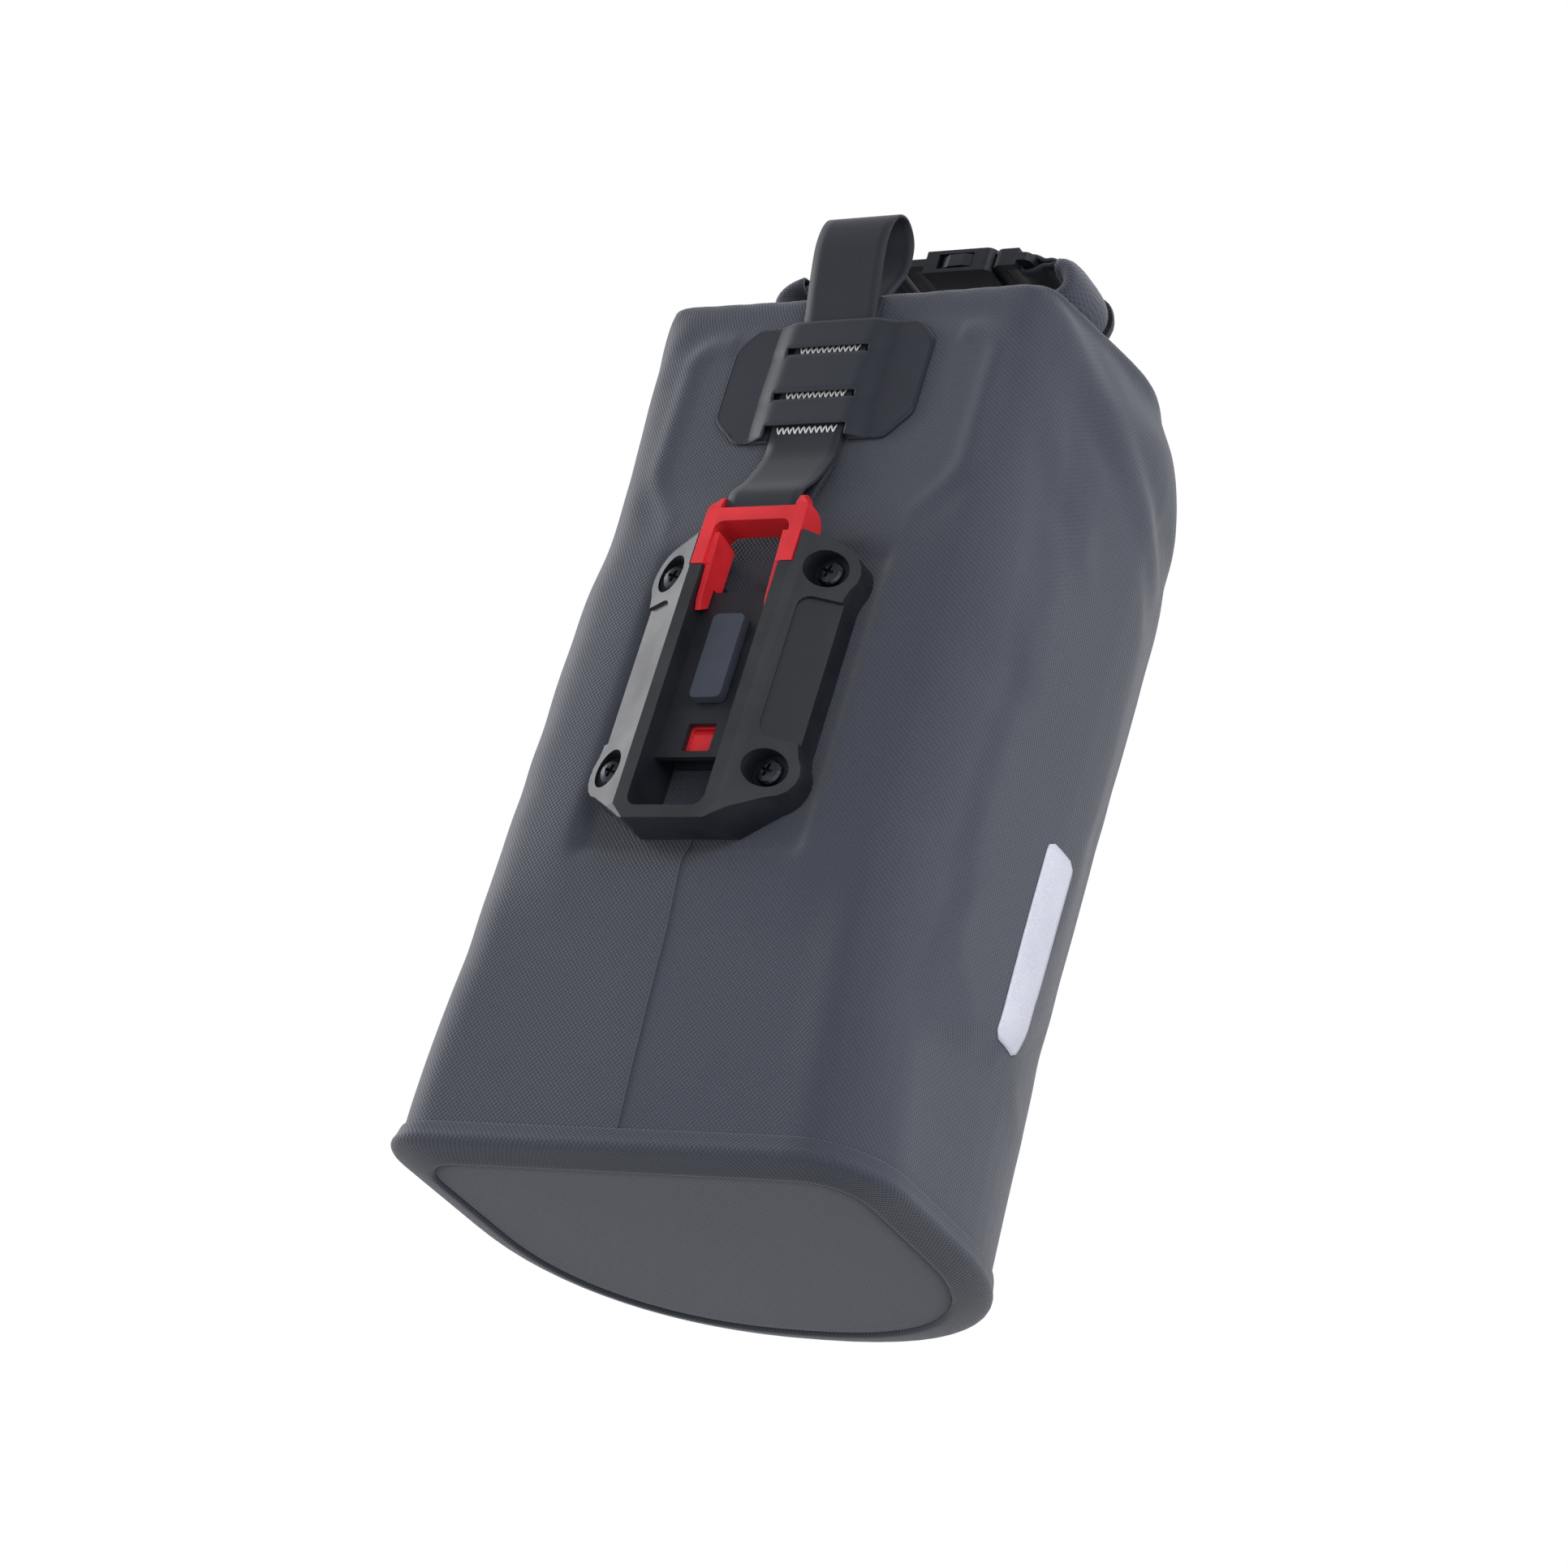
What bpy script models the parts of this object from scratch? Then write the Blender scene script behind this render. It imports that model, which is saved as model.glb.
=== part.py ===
"""Roll-top pannier bag with a rail bracket, a pull-to-release slider and a side-release buckle.

Metres, +Z up. The bag stands on its base at z = 0, the bracket side faces -Y, and +X is to the right
of someone who looks at the bracket. The origin is under the middle of the bag, on the base.
"""

import math

import bmesh
import bpy
from mathutils import Matrix, Vector

GAP = 0.0003

# Bag body
FABRIC = 0.0016
HALF_WIDTH = 0.078
FRONT_Y = -0.071
REAR_Y = 0.061
SIDE_SHARE = 0.45
CORNER = 0.016
BASE_PANEL = 0.0024
HEM_HEIGHT = 0.009
HEM_THICKNESS = 0.0018

# Roll closure and its buckle
ROLL_Y = -0.038
ROLL_DEPTH = 0.030
ROLL_THICKNESS = 0.012
ROLL_Z = 0.2905
ROLL_END_THICKNESS = 0.008
ROLL_LEFT_BEND = 0.039
ROLL_RIGHT_BEND = 0.049
BUCKLE_Z = 0.306
BUCKLE_WIDTH = 0.028
BUCKLE_THICKNESS = 0.008
SOCKET_LEFT = -0.012
SOCKET_RIGHT = 0.028
PLUG_RIGHT = 0.041
BUCKLE_BAR = 0.0028
BUCKLE_BAR_WIDTH = 0.0035
BUCKLE_SLOT = 0.0050
PRONG_PIVOT_X = 0.0262
PRONG_PIVOT_Y = 0.0090
WINDOW = (0.0090, 0.0212)
TAB_FAR_ENDS = (-0.0386, 0.0486)
TAB_WIDTH = 0.020
TAB_THICKNESS = 0.0014

# Bracket
BRACKET_FRONT = -0.088
BRACKET_BACK = FRONT_Y - GAP
CHANNEL_HALF = 0.013
RAIL_OUTER = 0.0172
FLANGE_HALF = 0.0355
FLANGE_EDGE_Y = -0.0785
RAIL_BOTTOM = 0.0935
CHANNEL_BOTTOM = 0.0975
RAIL_TOP = 0.177
FLANGE_TOP = 0.188
FLOOR_FRONT = -0.0815
FLOOR_BACK = -0.0795
FLOOR_BOTTOM = 0.1165
FLOOR_TOP = 0.171
SCREW_X = 0.0265
SCREW_Z = (0.112, 0.177)
SCREW_RADIUS = 0.002
HEAD_RADIUS = 0.004
HEAD_HEIGHT = 0.0026
COUNTERBORE_RADIUS = 0.006
COUNTERBORE_Y = -0.0791
SCREW_TIP = -0.0612
BACKING_PLATE = 0.002
WASHER_THICKNESS = 0.001
INSERT_THICKNESS = 0.0032

# Release slider and pull strap
SLIDER_TOP = 0.201
CROSSBAR_BOTTOM = 0.1915
CROSSBAR_TOP = 0.196
ARM_BACK = -0.0775
SPRING_BOTTOM = 0.140
SPRING_TOP = 0.168
SPRING_Y = -0.0752
SPRING_SEAT_HALF = 0.004
SPRING_SEAT_BACK = -0.0731
STRAP_WIDTH = 0.025
STRAP_THICKNESS = 0.0013
STRAP_BAR_Y = -0.0833
STRAP_BAR_RADIUS = 0.0014
STRAP_BAR_RISE = 0.0050
STRAP_PLY_Y = (-0.0737, -0.0722)

# Strap patch
PATCH_HALF = 0.0345
PATCH_BOTTOM = 0.229
PATCH_TOP = 0.270
PATCH_THICKNESS = 0.0012
BRIDGE_HALF = 0.0142
BRIDGE_Y = -0.0766
SLOT_Z = (0.2445, 0.2605)
NOTCH_TOP = 0.233


def clear_scene():
    for obj in list(bpy.data.objects):
        bpy.data.objects.remove(obj, do_unlink=True)


def collection(name):
    made = bpy.data.collections.new(name)
    bpy.context.scene.collection.children.link(made)
    return made


def material(name, colour, roughness, metallic=0.0):
    made = bpy.data.materials.new(name)
    made.use_nodes = True
    shader = made.node_tree.nodes["Principled BSDF"]
    shader.inputs["Base Color"].default_value = (*colour, 1.0)
    shader.inputs["Roughness"].default_value = roughness
    shader.inputs["Metallic"].default_value = metallic
    return made


def add_object(name, data, group, finish=None):
    obj = bpy.data.objects.new(name, data)
    group.objects.link(obj)
    if finish:
        data.materials.append(finish)
    return obj


def mesh_from_bmesh(name, bm):
    mesh = bpy.data.meshes.new(name)
    bmesh.ops.recalc_face_normals(bm, faces=bm.faces)
    bm.to_mesh(mesh)
    bm.free()
    return mesh


def loft_mesh(name, rings, caps=True):
    """Skins rings of equal length, each a closed loop of points."""
    bm = bmesh.new()
    made = [[bm.verts.new(point) for point in ring] for ring in rings]
    count = len(rings[0])
    for low, high in zip(made, made[1:]):
        for i in range(count):
            j = (i + 1) % count
            bm.faces.new((low[i], low[j], high[j], high[i]))
    if caps:
        bm.faces.new(made[0])
        bm.faces.new(made[-1])
    return mesh_from_bmesh(name, bm)


def box_mesh(name, low, high):
    bm = bmesh.new()
    size = [b - a for a, b in zip(low, high)]
    middle = [(a + b) / 2 for a, b in zip(low, high)]
    bmesh.ops.create_cube(bm, size=1.0, matrix=Matrix.Translation(middle) @ Matrix.Diagonal((*size, 1.0)))
    return mesh_from_bmesh(name, bm)


def cylinder_mesh(name, radius, start, end, sides=20):
    """A cylinder between two points."""
    start, end = Vector(start), Vector(end)
    turn = (end - start).to_track_quat("Z", "Y").to_matrix().to_4x4()
    bm = bmesh.new()
    bmesh.ops.create_cone(
        bm,
        cap_ends=True,
        segments=sides,
        radius1=radius,
        radius2=radius,
        depth=(end - start).length,
        matrix=Matrix.Translation((start + end) / 2) @ turn,
    )
    return mesh_from_bmesh(name, bm)


def evaluated_mesh(obj):
    """The object's modifiers and curve settings applied, as a welded mesh."""
    bpy.context.view_layer.update()
    graph = bpy.context.evaluated_depsgraph_get()
    mesh = bpy.data.meshes.new_from_object(obj.evaluated_get(graph), depsgraph=graph)
    bm = bmesh.new()
    bm.from_mesh(mesh)
    bmesh.ops.remove_doubles(bm, verts=bm.verts, dist=0.00001)
    bmesh.ops.recalc_face_normals(bm, faces=bm.faces)
    bm.to_mesh(mesh)
    bm.free()
    return mesh


def as_mesh_object(obj, group):
    """Replaces a curve object by a mesh object of the same name and place."""
    mesh = evaluated_mesh(obj)
    name, matrix = obj.name, obj.matrix_world.copy()
    bpy.data.objects.remove(obj, do_unlink=True)
    made = add_object(name, mesh, group)
    made.matrix_world = matrix
    return made


def outline_plate(name, outlines, thickness, group, finish, upright_at=None):
    """A flat outline with holes, laid in X and Y, or stood in X and Z with its middle at y = upright_at."""
    curve = bpy.data.curves.new(name, "CURVE")
    curve.dimensions = "2D"
    curve.fill_mode = "BOTH"
    curve.extrude = thickness / 2
    for outline in outlines:
        spline = curve.splines.new("POLY")
        spline.points.add(len(outline) - 1)
        for point, (u, v) in zip(spline.points, outline):
            point.co = (u, v, 0.0, 1.0)
        spline.use_cyclic_u = True
    obj = add_object(name, curve, group, finish)
    if upright_at is not None:
        obj.rotation_euler = (math.pi / 2, 0.0, 0.0)
        obj.location = (0.0, upright_at, 0.0)
    obj = as_mesh_object(obj, group)
    bake_matrix(obj)
    return obj


def bake_matrix(obj):
    bpy.context.view_layer.update()
    obj.data.transform(obj.matrix_world)
    obj.matrix_world = Matrix.Identity(4)


def ribbon_loop(name, path, width, thickness, group, finish, plane):
    """A closed band of webbing: a smooth loop in the given plane, widened across it and thickened."""
    curve = bpy.data.curves.new(name, "CURVE")
    curve.dimensions = "2D"
    curve.fill_mode = "NONE"
    curve.extrude = width / 2
    curve.resolution_u = 5
    spline = curve.splines.new("BEZIER")
    spline.bezier_points.add(len(path) - 1)
    for point, (u, v) in zip(spline.bezier_points, path):
        point.co = (u, v, 0.0)
        point.handle_left_type = "AUTO"
        point.handle_right_type = "AUTO"
    spline.use_cyclic_u = True
    obj = as_mesh_object(add_object(name, curve, group, finish), group)
    obj.matrix_world = plane
    bake_matrix(obj)
    solid = obj.modifiers.new("thickness", "SOLIDIFY")
    solid.thickness = thickness
    solid.offset = 0.0
    solid.use_even_offset = True
    return obj


def boolean(obj, other, operation="DIFFERENCE"):
    cut = obj.modifiers.new(operation.lower(), "BOOLEAN")
    cut.operation = operation
    cut.object = other
    cut.solver = "EXACT"


def cutter(name, mesh, cutters):
    obj = add_object(name, mesh, cutters)
    obj.hide_render = True
    obj.display_type = "WIRE"
    return obj


def apply_all(obj):
    """Makes the modifiers' result the object's own mesh."""
    mesh = evaluated_mesh(obj)
    obj.modifiers.clear()
    obj.data = mesh


def soften(obj, width, angle=40.0):
    """Rounds the moulded part's sharp edges, after its flat faces are made whole again."""
    bm = bmesh.new()
    bm.from_mesh(obj.data)
    bmesh.ops.dissolve_limit(bm, angle_limit=math.radians(1.0), verts=bm.verts, edges=bm.edges)
    bm.to_mesh(obj.data)
    bm.free()
    bevel = obj.modifiers.new("moulded_edge", "BEVEL")
    bevel.width = width
    bevel.segments = 2
    bevel.limit_method = "ANGLE"
    bevel.angle_limit = math.radians(angle)
    apply_all(obj)


def arc(centre, radius, start, end, steps):
    """Points on a circle's arc, angles in degrees."""
    points = []
    for i in range(steps + 1):
        angle = math.radians(start + (end - start) * i / steps)
        points.append((centre[0] + radius * math.cos(angle), centre[1] + radius * math.sin(angle)))
    return points


def rounded_rectangle(left, right, bottom, top, radius, steps=4):
    return (
        arc((right - radius, bottom + radius), radius, -90, 0, steps)
        + arc((right - radius, top - radius), radius, 0, 90, steps)
        + arc((left + radius, top - radius), radius, 90, 180, steps)
        + arc((left + radius, bottom + radius), radius, 180, 270, steps)
    )


def finish_mesh(obj, finish, angle=35.0):
    obj.data.materials.clear()
    obj.data.materials.append(finish)
    obj.data.shade_smooth()
    obj.data.set_sharp_from_angle(angle=math.radians(angle))


# ---------------------------------------------------------------- bag body


def d_outline(half_width, front, rear, corner, grow=0.0):
    """The bag's plan: a flat front with round corners, straight sides and a round back."""
    half_width, front, rear, corner = half_width + grow, front - grow, rear + grow, corner + grow
    side_y = front + SIDE_SHARE * (rear - front)
    points = arc((-(half_width - corner), front + corner), corner, 180, 270, 5)
    flat = half_width - corner
    points += [(flat * (i / 4 - 1.0), front) for i in range(1, 8)]
    points += arc((flat, front + corner), corner, 270, 360, 5)
    for i in range(17):
        turn = math.pi * i / 16
        x = half_width * math.copysign(abs(math.cos(turn)) ** 0.86, math.cos(turn))
        points.append((x, side_y + (rear - side_y) * math.sin(turn) ** 0.9))
    return points


def body_section(height):
    """Half width, front y, rear y and corner radius of the upright part of the bag."""
    lean = max(0.0, 1.0 - height / 0.095) ** 1.5
    return HALF_WIDTH + 0.001 * lean, FRONT_Y + 0.008 * lean, REAR_Y, CORNER + 0.008 * lean


def ease(share):
    share = min(max(share, 0.0), 1.0)
    return share * share * (3.0 - 2.0 * share)


def front_narrowing(height):
    """How much narrower the front is than the sides' widest line, as a share of the width."""
    return 0.062 * ease(height / 0.085) + 0.062 * ease((height - 0.165) / 0.065)


def slanted_ring(half_width, front, rear, corner, z_front, z_rear):
    ring = []
    for x, y in d_outline(half_width, front, rear, corner):
        share = (y - front) / (rear - front)
        z = z_front + (z_rear - z_front) * share
        near_front = max(1.0 - (y - front) / 0.060, 0.0) ** 1.3
        ring.append((x * (1.0 - front_narrowing(z) * near_front), y, z))
    return ring


def build_bag_shell(group, finish):
    """An open-mouthed fabric shell: an upright D that folds over at the top towards the mouth."""
    rings = []
    for height in (BASE_PANEL + GAP, 0.015, 0.035, 0.060, 0.095, 0.150, 0.205):
        rings.append(slanted_ring(*body_section(height), height, height))
    rings.append(slanted_ring(0.0770, FRONT_Y, 0.0590, CORNER, 0.246, 0.226))
    rings.append(slanted_ring(0.0765, FRONT_Y, 0.0500, 0.014, 0.271, 0.247))
    rings.append(slanted_ring(0.0740, -0.0700, 0.0320, 0.010, 0.2795, 0.2660))
    rings.append(slanted_ring(0.0710, -0.0660, 0.0080, 0.007, 0.2820, 0.2790))
    rings.append(slanted_ring(0.0560, ROLL_Y - 0.0135, ROLL_Y + 0.0135, 0.006, 0.2838, 0.2838))
    shell = add_object("bag_shell", loft_mesh("bag_shell", rings, caps=False), group)
    wall = shell.modifiers.new("fabric", "SOLIDIFY")
    wall.thickness = FABRIC
    wall.offset = -1.0
    wall.use_even_offset = True
    apply_all(shell)
    finish_mesh(shell, finish, 50.0)
    return shell


def build_base_panel(group, finish):
    outline = d_outline(*body_section(0.0))
    base = outline_plate("base_panel", [outline], BASE_PANEL, group, finish)
    base.data.transform(Matrix.Translation((0.0, 0.0, BASE_PANEL / 2)))
    finish_mesh(base, finish)


def build_base_seam_band(group, finish):
    """The hem that wraps the joint between the body and the base panel."""
    bm = bmesh.new()
    corners = (
        (GAP, GAP),
        (GAP + HEM_THICKNESS, GAP),
        (GAP + HEM_THICKNESS, HEM_HEIGHT),
        (GAP + 0.0002, HEM_HEIGHT),
    )
    loops = []
    for grow, height in corners:
        outline = d_outline(*body_section(height), grow=grow)
        loops.append([bm.verts.new((x, y, height)) for x, y in outline])
    count = len(loops[0])
    for low, high in zip(loops, loops[1:] + loops[:1]):
        for i in range(count):
            j = (i + 1) % count
            bm.faces.new((low[i], low[j], high[j], high[i]))
    band = add_object("base_seam_band", mesh_from_bmesh("base_seam_band", bm), group)
    finish_mesh(band, finish)


def build_backing_plate(group, finish):
    """The stiff plate inside the front wall: wide at the top, bracket width lower down."""
    top, shoulder, bottom = 0.2665, 0.212, 0.102
    wide, narrow = 0.053, 0.040
    right = (
        arc((narrow - 0.008, bottom + 0.008), 0.008, -90, 0, 4)
        + arc((wide - 0.012, shoulder + 0.012), 0.012, -70, 0, 4)
        + arc((wide - 0.006, top - 0.006), 0.006, 0, 90, 4)
    )
    left = [(-x, z) for x, z in reversed(right)]
    middle = FRONT_Y + FABRIC + GAP + BACKING_PLATE / 2
    plate = outline_plate("backing_plate", [right + left], BACKING_PLATE, group, finish, middle)
    finish_mesh(plate, finish)
    return plate


def build_reflective_patch(group, finish):
    outline = rounded_rectangle(-0.018, -0.002, 0.064, 0.126, 0.003)
    patch = outline_plate("reflective_patch", [outline], 0.0006, group, finish, 0.0)
    patch.data.transform(Matrix.Rotation(math.pi / 2, 4, "Z"))
    patch.data.transform(Matrix.Translation((0.0, 0.010, 0.0)))
    patch.data.transform(Matrix.Rotation(math.radians(1.5), 4, "Z"))
    patch.data.transform(Matrix.Translation((HALF_WIDTH + GAP + 0.0003, -0.010, 0.0)))
    finish_mesh(patch, finish)


# ---------------------------------------------------------------- roll closure


def roll_path():
    """Middle line of the roll in X and Z with its thickness: flat, with both ends bent up and inwards."""
    halves = []
    for reach in (ROLL_LEFT_BEND, ROLL_RIGHT_BEND):
        half = [(0.0, ROLL_Z, ROLL_THICKNESS), (reach - 0.019, ROLL_Z, ROLL_THICKNESS)]
        half.append((reach - 0.005, ROLL_Z, 0.0115))
        bend = arc((reach, ROLL_Z + 0.0068), 0.0068, -75, 85, 7)
        for i, (x, z) in enumerate(bend):
            half.append((x, z, 0.0105 - (0.0105 - ROLL_END_THICKNESS) * i / 7))
        halves.append(half)
    left = [(-x, z, thick) for x, z, thick in reversed(halves[0][1:])]
    return left + halves[1]


def roll_sections(depth, thickness_of, points_round=20):
    """Rounded sections square to the roll's middle line."""
    path = roll_path()
    rings = []
    for i, (x, z, thick) in enumerate(path):
        before, after = path[max(i - 1, 0)], path[min(i + 1, len(path) - 1)]
        along = Vector((after[0] - before[0], after[1] - before[1])).normalized()
        side = Vector((-along.y, along.x))
        half = thickness_of(thick) / 2
        ring = []
        for k in range(points_round):
            turn = 2 * math.pi * k / points_round
            across = depth / 2 * math.copysign(abs(math.cos(turn)) ** 0.45, math.cos(turn))
            up = half * math.copysign(abs(math.sin(turn)) ** 0.8, math.sin(turn))
            ring.append((x + side.x * up, ROLL_Y + across, z + side.y * up))
        rings.append(ring)
    return rings


def build_closure_roll(group, finish, stiffener_finish):
    """The rolled mouth, with a lengthwise slot that holds the mouth's stiffening strip."""
    outer = roll_sections(ROLL_DEPTH, lambda thick: thick)
    inner = roll_sections(ROLL_DEPTH - 0.008, lambda thick: 0.0024)
    bm = bmesh.new()
    skins = [[[bm.verts.new(point) for point in ring] for ring in rings] for rings in (outer, inner)]
    count = len(outer[0])
    for skin in skins:
        for low, high in zip(skin, skin[1:]):
            for i in range(count):
                j = (i + 1) % count
                bm.faces.new((low[i], low[j], high[j], high[i]))
    for end in (0, -1):
        for i in range(count):
            j = (i + 1) % count
            bm.faces.new((skins[0][end][i], skins[0][end][j], skins[1][end][j], skins[1][end][i]))
    roll = add_object("closure_roll", mesh_from_bmesh("closure_roll", bm), group)
    finish_mesh(roll, finish, 50.0)
    strip_rings = roll_sections(ROLL_DEPTH - 0.0095, lambda thick: 0.0012)[1:-1]
    strip = add_object("mouth_stiffener", loft_mesh("mouth_stiffener", strip_rings), group)
    finish_mesh(strip, stiffener_finish)


def build_closure_tab(name, bar_inner, bar_outer, far_end, group, finish):
    """A band of webbing from round an end bar of the buckle to the roll's end."""
    toward = math.copysign(1.0, far_end - bar_inner)
    turn = bar_inner - toward * (TAB_THICKNESS / 2 + 0.0009)
    over_bar = BUCKLE_BAR / 2 + GAP + TAB_THICKNESS / 2 + 0.0001
    flat = TAB_THICKNESS / 2 + GAP
    upper = [
        (turn + toward * 0.0007, over_bar * 0.8),
        (bar_inner + toward * 0.0004, over_bar),
        (bar_outer, over_bar),
        (bar_outer + toward * 0.0028, flat + 0.0006),
        (far_end - toward * 0.0022, flat),
    ]
    lower = [(x, -z) for x, z in reversed(upper)]
    path = [(turn, 0.0)] + upper + [(far_end - toward * TAB_THICKNESS / 2, 0.0)] + lower
    plane = Matrix.Translation((0.0, ROLL_Y, BUCKLE_Z)) @ Matrix.Rotation(math.pi / 2, 4, "X")
    tab = ribbon_loop(name, path, TAB_WIDTH, TAB_THICKNESS, group, finish, plane)
    apply_all(tab)
    finish_mesh(tab, finish)


# ---------------------------------------------------------------- buckle




def thin_bars(obj, left, right, cutters):
    """Brings the buckle's webbing bars between two x values down to their own thickness."""
    for side in (-1, 1):
        low, high = sorted((side * BUCKLE_BAR / 2, side * BUCKLE_THICKNESS))
        block = box_mesh(
            "bar_relief",
            (left, ROLL_Y - 0.020, BUCKLE_Z + low),
            (right, ROLL_Y + 0.020, BUCKLE_Z + high),
        )
        boolean(obj, cutter("bar_relief", block, cutters))


def build_buckle_socket(group, cutters, finish):
    """A hollow sleeve with a mouth on its right, a window on each side and a ladder of two bars."""
    half = BUCKLE_WIDTH / 2
    low, high = ROLL_Y - half, ROLL_Y + half
    outline = rounded_rectangle(SOCKET_LEFT, SOCKET_RIGHT, low, high, 0.003)
    slots = []
    for bars in (1, 2):
        slot_left = SOCKET_LEFT + bars * BUCKLE_BAR_WIDTH + (bars - 1) * BUCKLE_SLOT
        slot_right = slot_left + BUCKLE_SLOT
        slots.append(rounded_rectangle(slot_left, slot_right, low + 0.0026, high - 0.0026, 0.001))
    socket = outline_plate("buckle_socket", [outline] + slots, BUCKLE_THICKNESS, group, finish)
    socket.data.transform(Matrix.Translation((0.0, 0.0, BUCKLE_Z)))
    cavity = box_mesh(
        "socket_cavity",
        (0.0070, ROLL_Y - 0.0124, BUCKLE_Z - 0.0026),
        (SOCKET_RIGHT + 0.002, ROLL_Y + 0.0124, BUCKLE_Z + 0.0026),
    )
    windows = box_mesh(
        "socket_windows",
        (WINDOW[0], ROLL_Y - 0.020, BUCKLE_Z - 0.0026),
        (WINDOW[1], ROLL_Y + 0.020, BUCKLE_Z + 0.0026),
    )
    for mesh in (cavity, windows):
        boolean(socket, cutter(mesh.name, mesh, cutters))
    bars_end = SOCKET_LEFT + 2 * (BUCKLE_BAR_WIDTH + BUCKLE_SLOT) - 0.0005
    thin_bars(socket, SOCKET_LEFT - 0.001, bars_end, cutters)
    apply_all(socket)
    soften(socket, 0.0004)
    finish_mesh(socket, finish)


def build_buckle_plug(group, cutters, finish):
    """The plug's cross piece with its webbing slot, and the tongue between the prongs."""
    half = BUCKLE_WIDTH / 2
    low, high = ROLL_Y - half, ROLL_Y + half
    left = SOCKET_RIGHT + GAP
    outline = rounded_rectangle(left, PLUG_RIGHT, low, high, 0.0025)
    slot_right = PLUG_RIGHT - BUCKLE_BAR_WIDTH
    slot = rounded_rectangle(slot_right - BUCKLE_SLOT, slot_right, low + 0.0029, high - 0.0029, 0.001)
    plug = outline_plate("buckle_plug", [outline, slot], 0.0062, group, finish)
    plug.data.transform(Matrix.Translation((0.0, 0.0, BUCKLE_Z)))
    tongue = box_mesh(
        "plug_tongue",
        (0.0120, ROLL_Y - 0.0022, BUCKLE_Z - 0.0018),
        (left + 0.002, ROLL_Y + 0.0022, BUCKLE_Z + 0.0018),
    )
    root = box_mesh(
        "plug_root",
        (PRONG_PIVOT_X + 0.0006, ROLL_Y - 0.0118, BUCKLE_Z - 0.0021),
        (left + 0.001, ROLL_Y + 0.0118, BUCKLE_Z + 0.0021),
    )
    for mesh in (tongue, root):
        boolean(plug, cutter(mesh.name, mesh, cutters), "UNION")
    thin_bars(plug, slot_right - 0.0010, PLUG_RIGHT + 0.001, cutters)
    apply_all(plug)
    soften(plug, 0.0004)
    finish_mesh(plug, finish)


def build_prong(name, side, group, finish):
    """One springy prong: a stem from the plug and a head that fills the socket's side window."""
    empty = bpy.data.objects.new(name + "_hinge", None)
    empty.location = (PRONG_PIVOT_X, ROLL_Y + side * PRONG_PIVOT_Y, BUCKLE_Z)
    group.objects.link(empty)
    outline = [
        (0.0262, 0.0078),
        (0.0262, 0.0102),
        (0.0209, 0.0110),
        (0.0207, 0.0136),
        (0.0180, 0.0144),
        (0.0130, 0.0142),
        (0.0098, 0.0128),
        (0.0094, 0.0090),
        (0.0130, 0.0082),
    ]
    world = [(x, ROLL_Y + side * y) for x, y in outline]
    prong = outline_plate(name, [world], 0.0042, group, finish)
    prong.data.transform(Matrix.Translation((0.0, 0.0, BUCKLE_Z)))
    prong.data.transform(Matrix.Translation(-empty.location))
    prong.parent = empty
    finish_mesh(prong, finish)


# ---------------------------------------------------------------- bracket


def bracket_outline():
    """The bracket's front view: bosses at the screws, a waist between them, the slider's seat on top."""
    low, high = SCREW_Z
    boss = FLANGE_HALF - SCREW_X
    right = arc((RAIL_OUTER - 0.0050, RAIL_BOTTOM + 0.0050), 0.0050, -90, -45, 3)
    right += arc((SCREW_X, low), boss, -75, 35, 6)
    right += [(FLANGE_HALF - 0.0025, low + 0.0085), (FLANGE_HALF - 0.0025, high - 0.0085)]
    right += arc((SCREW_X, high), boss, -35, 75, 6)
    right += [(RAIL_OUTER + 0.0006, FLANGE_TOP), (RAIL_OUTER + 0.0006, RAIL_TOP)]
    left = [(-x, z) for x, z in reversed(right)]
    return right + left


def slope_cutter(start, end, run, cutters):
    """Removes what lies in front of a slope from a front edge to the flange's edge on its right."""
    start, end = Vector((start[0], 0.0, start[1])), Vector((end[0], 0.0, end[1]))
    along = (end - start).normalized()
    outward = Vector((along.z, 0.0, -along.x))
    fall = (FLANGE_EDGE_Y - BRACKET_FRONT) / run
    reach = 0.040
    profile = [
        (-0.001, BRACKET_FRONT - fall * 0.001),
        (-0.001, BRACKET_FRONT - 0.010),
        (reach, BRACKET_FRONT - 0.010),
        (reach, BRACKET_FRONT + fall * reach),
    ]
    rings = []
    for edge in (start - along * reach, end + along * reach):
        rings.append([edge + outward * out + Vector((0.0, y, 0.0)) for out, y in profile])
    return cutter("slope_cut", loft_mesh("slope_cut", rings), cutters)


def recess_cutter(side, cutters):
    """The shallow panel pressed into the flank between the screws."""
    slope = math.atan2(FLANGE_EDGE_Y - BRACKET_FRONT, FLANGE_HALF - RAIL_OUTER)
    outline = rounded_rectangle(-0.0058, 0.0200, -0.0230, 0.0230, 0.004)
    half = 0.0030
    rings = []
    for depth in (-half, half):
        rings.append([(x, depth, z) for x, z in outline])
    mesh = loft_mesh("recess_cut", rings)
    mesh.transform(Matrix.Rotation(slope, 4, "Z"))
    middle_y = BRACKET_FRONT + math.tan(slope) * (SCREW_X + 0.0015 - RAIL_OUTER)
    mesh.transform(Matrix.Translation((SCREW_X + 0.0015, middle_y - half + 0.0009, sum(SCREW_Z) / 2)))
    if side < 0:
        mesh.transform(Matrix.Diagonal((-1.0, 1.0, 1.0, 1.0)))
        mesh.flip_normals()
    return cutter("recess_cut", mesh, cutters)


def screw_places():
    return [(x, z) for x in (-SCREW_X, SCREW_X) for z in SCREW_Z]


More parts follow.
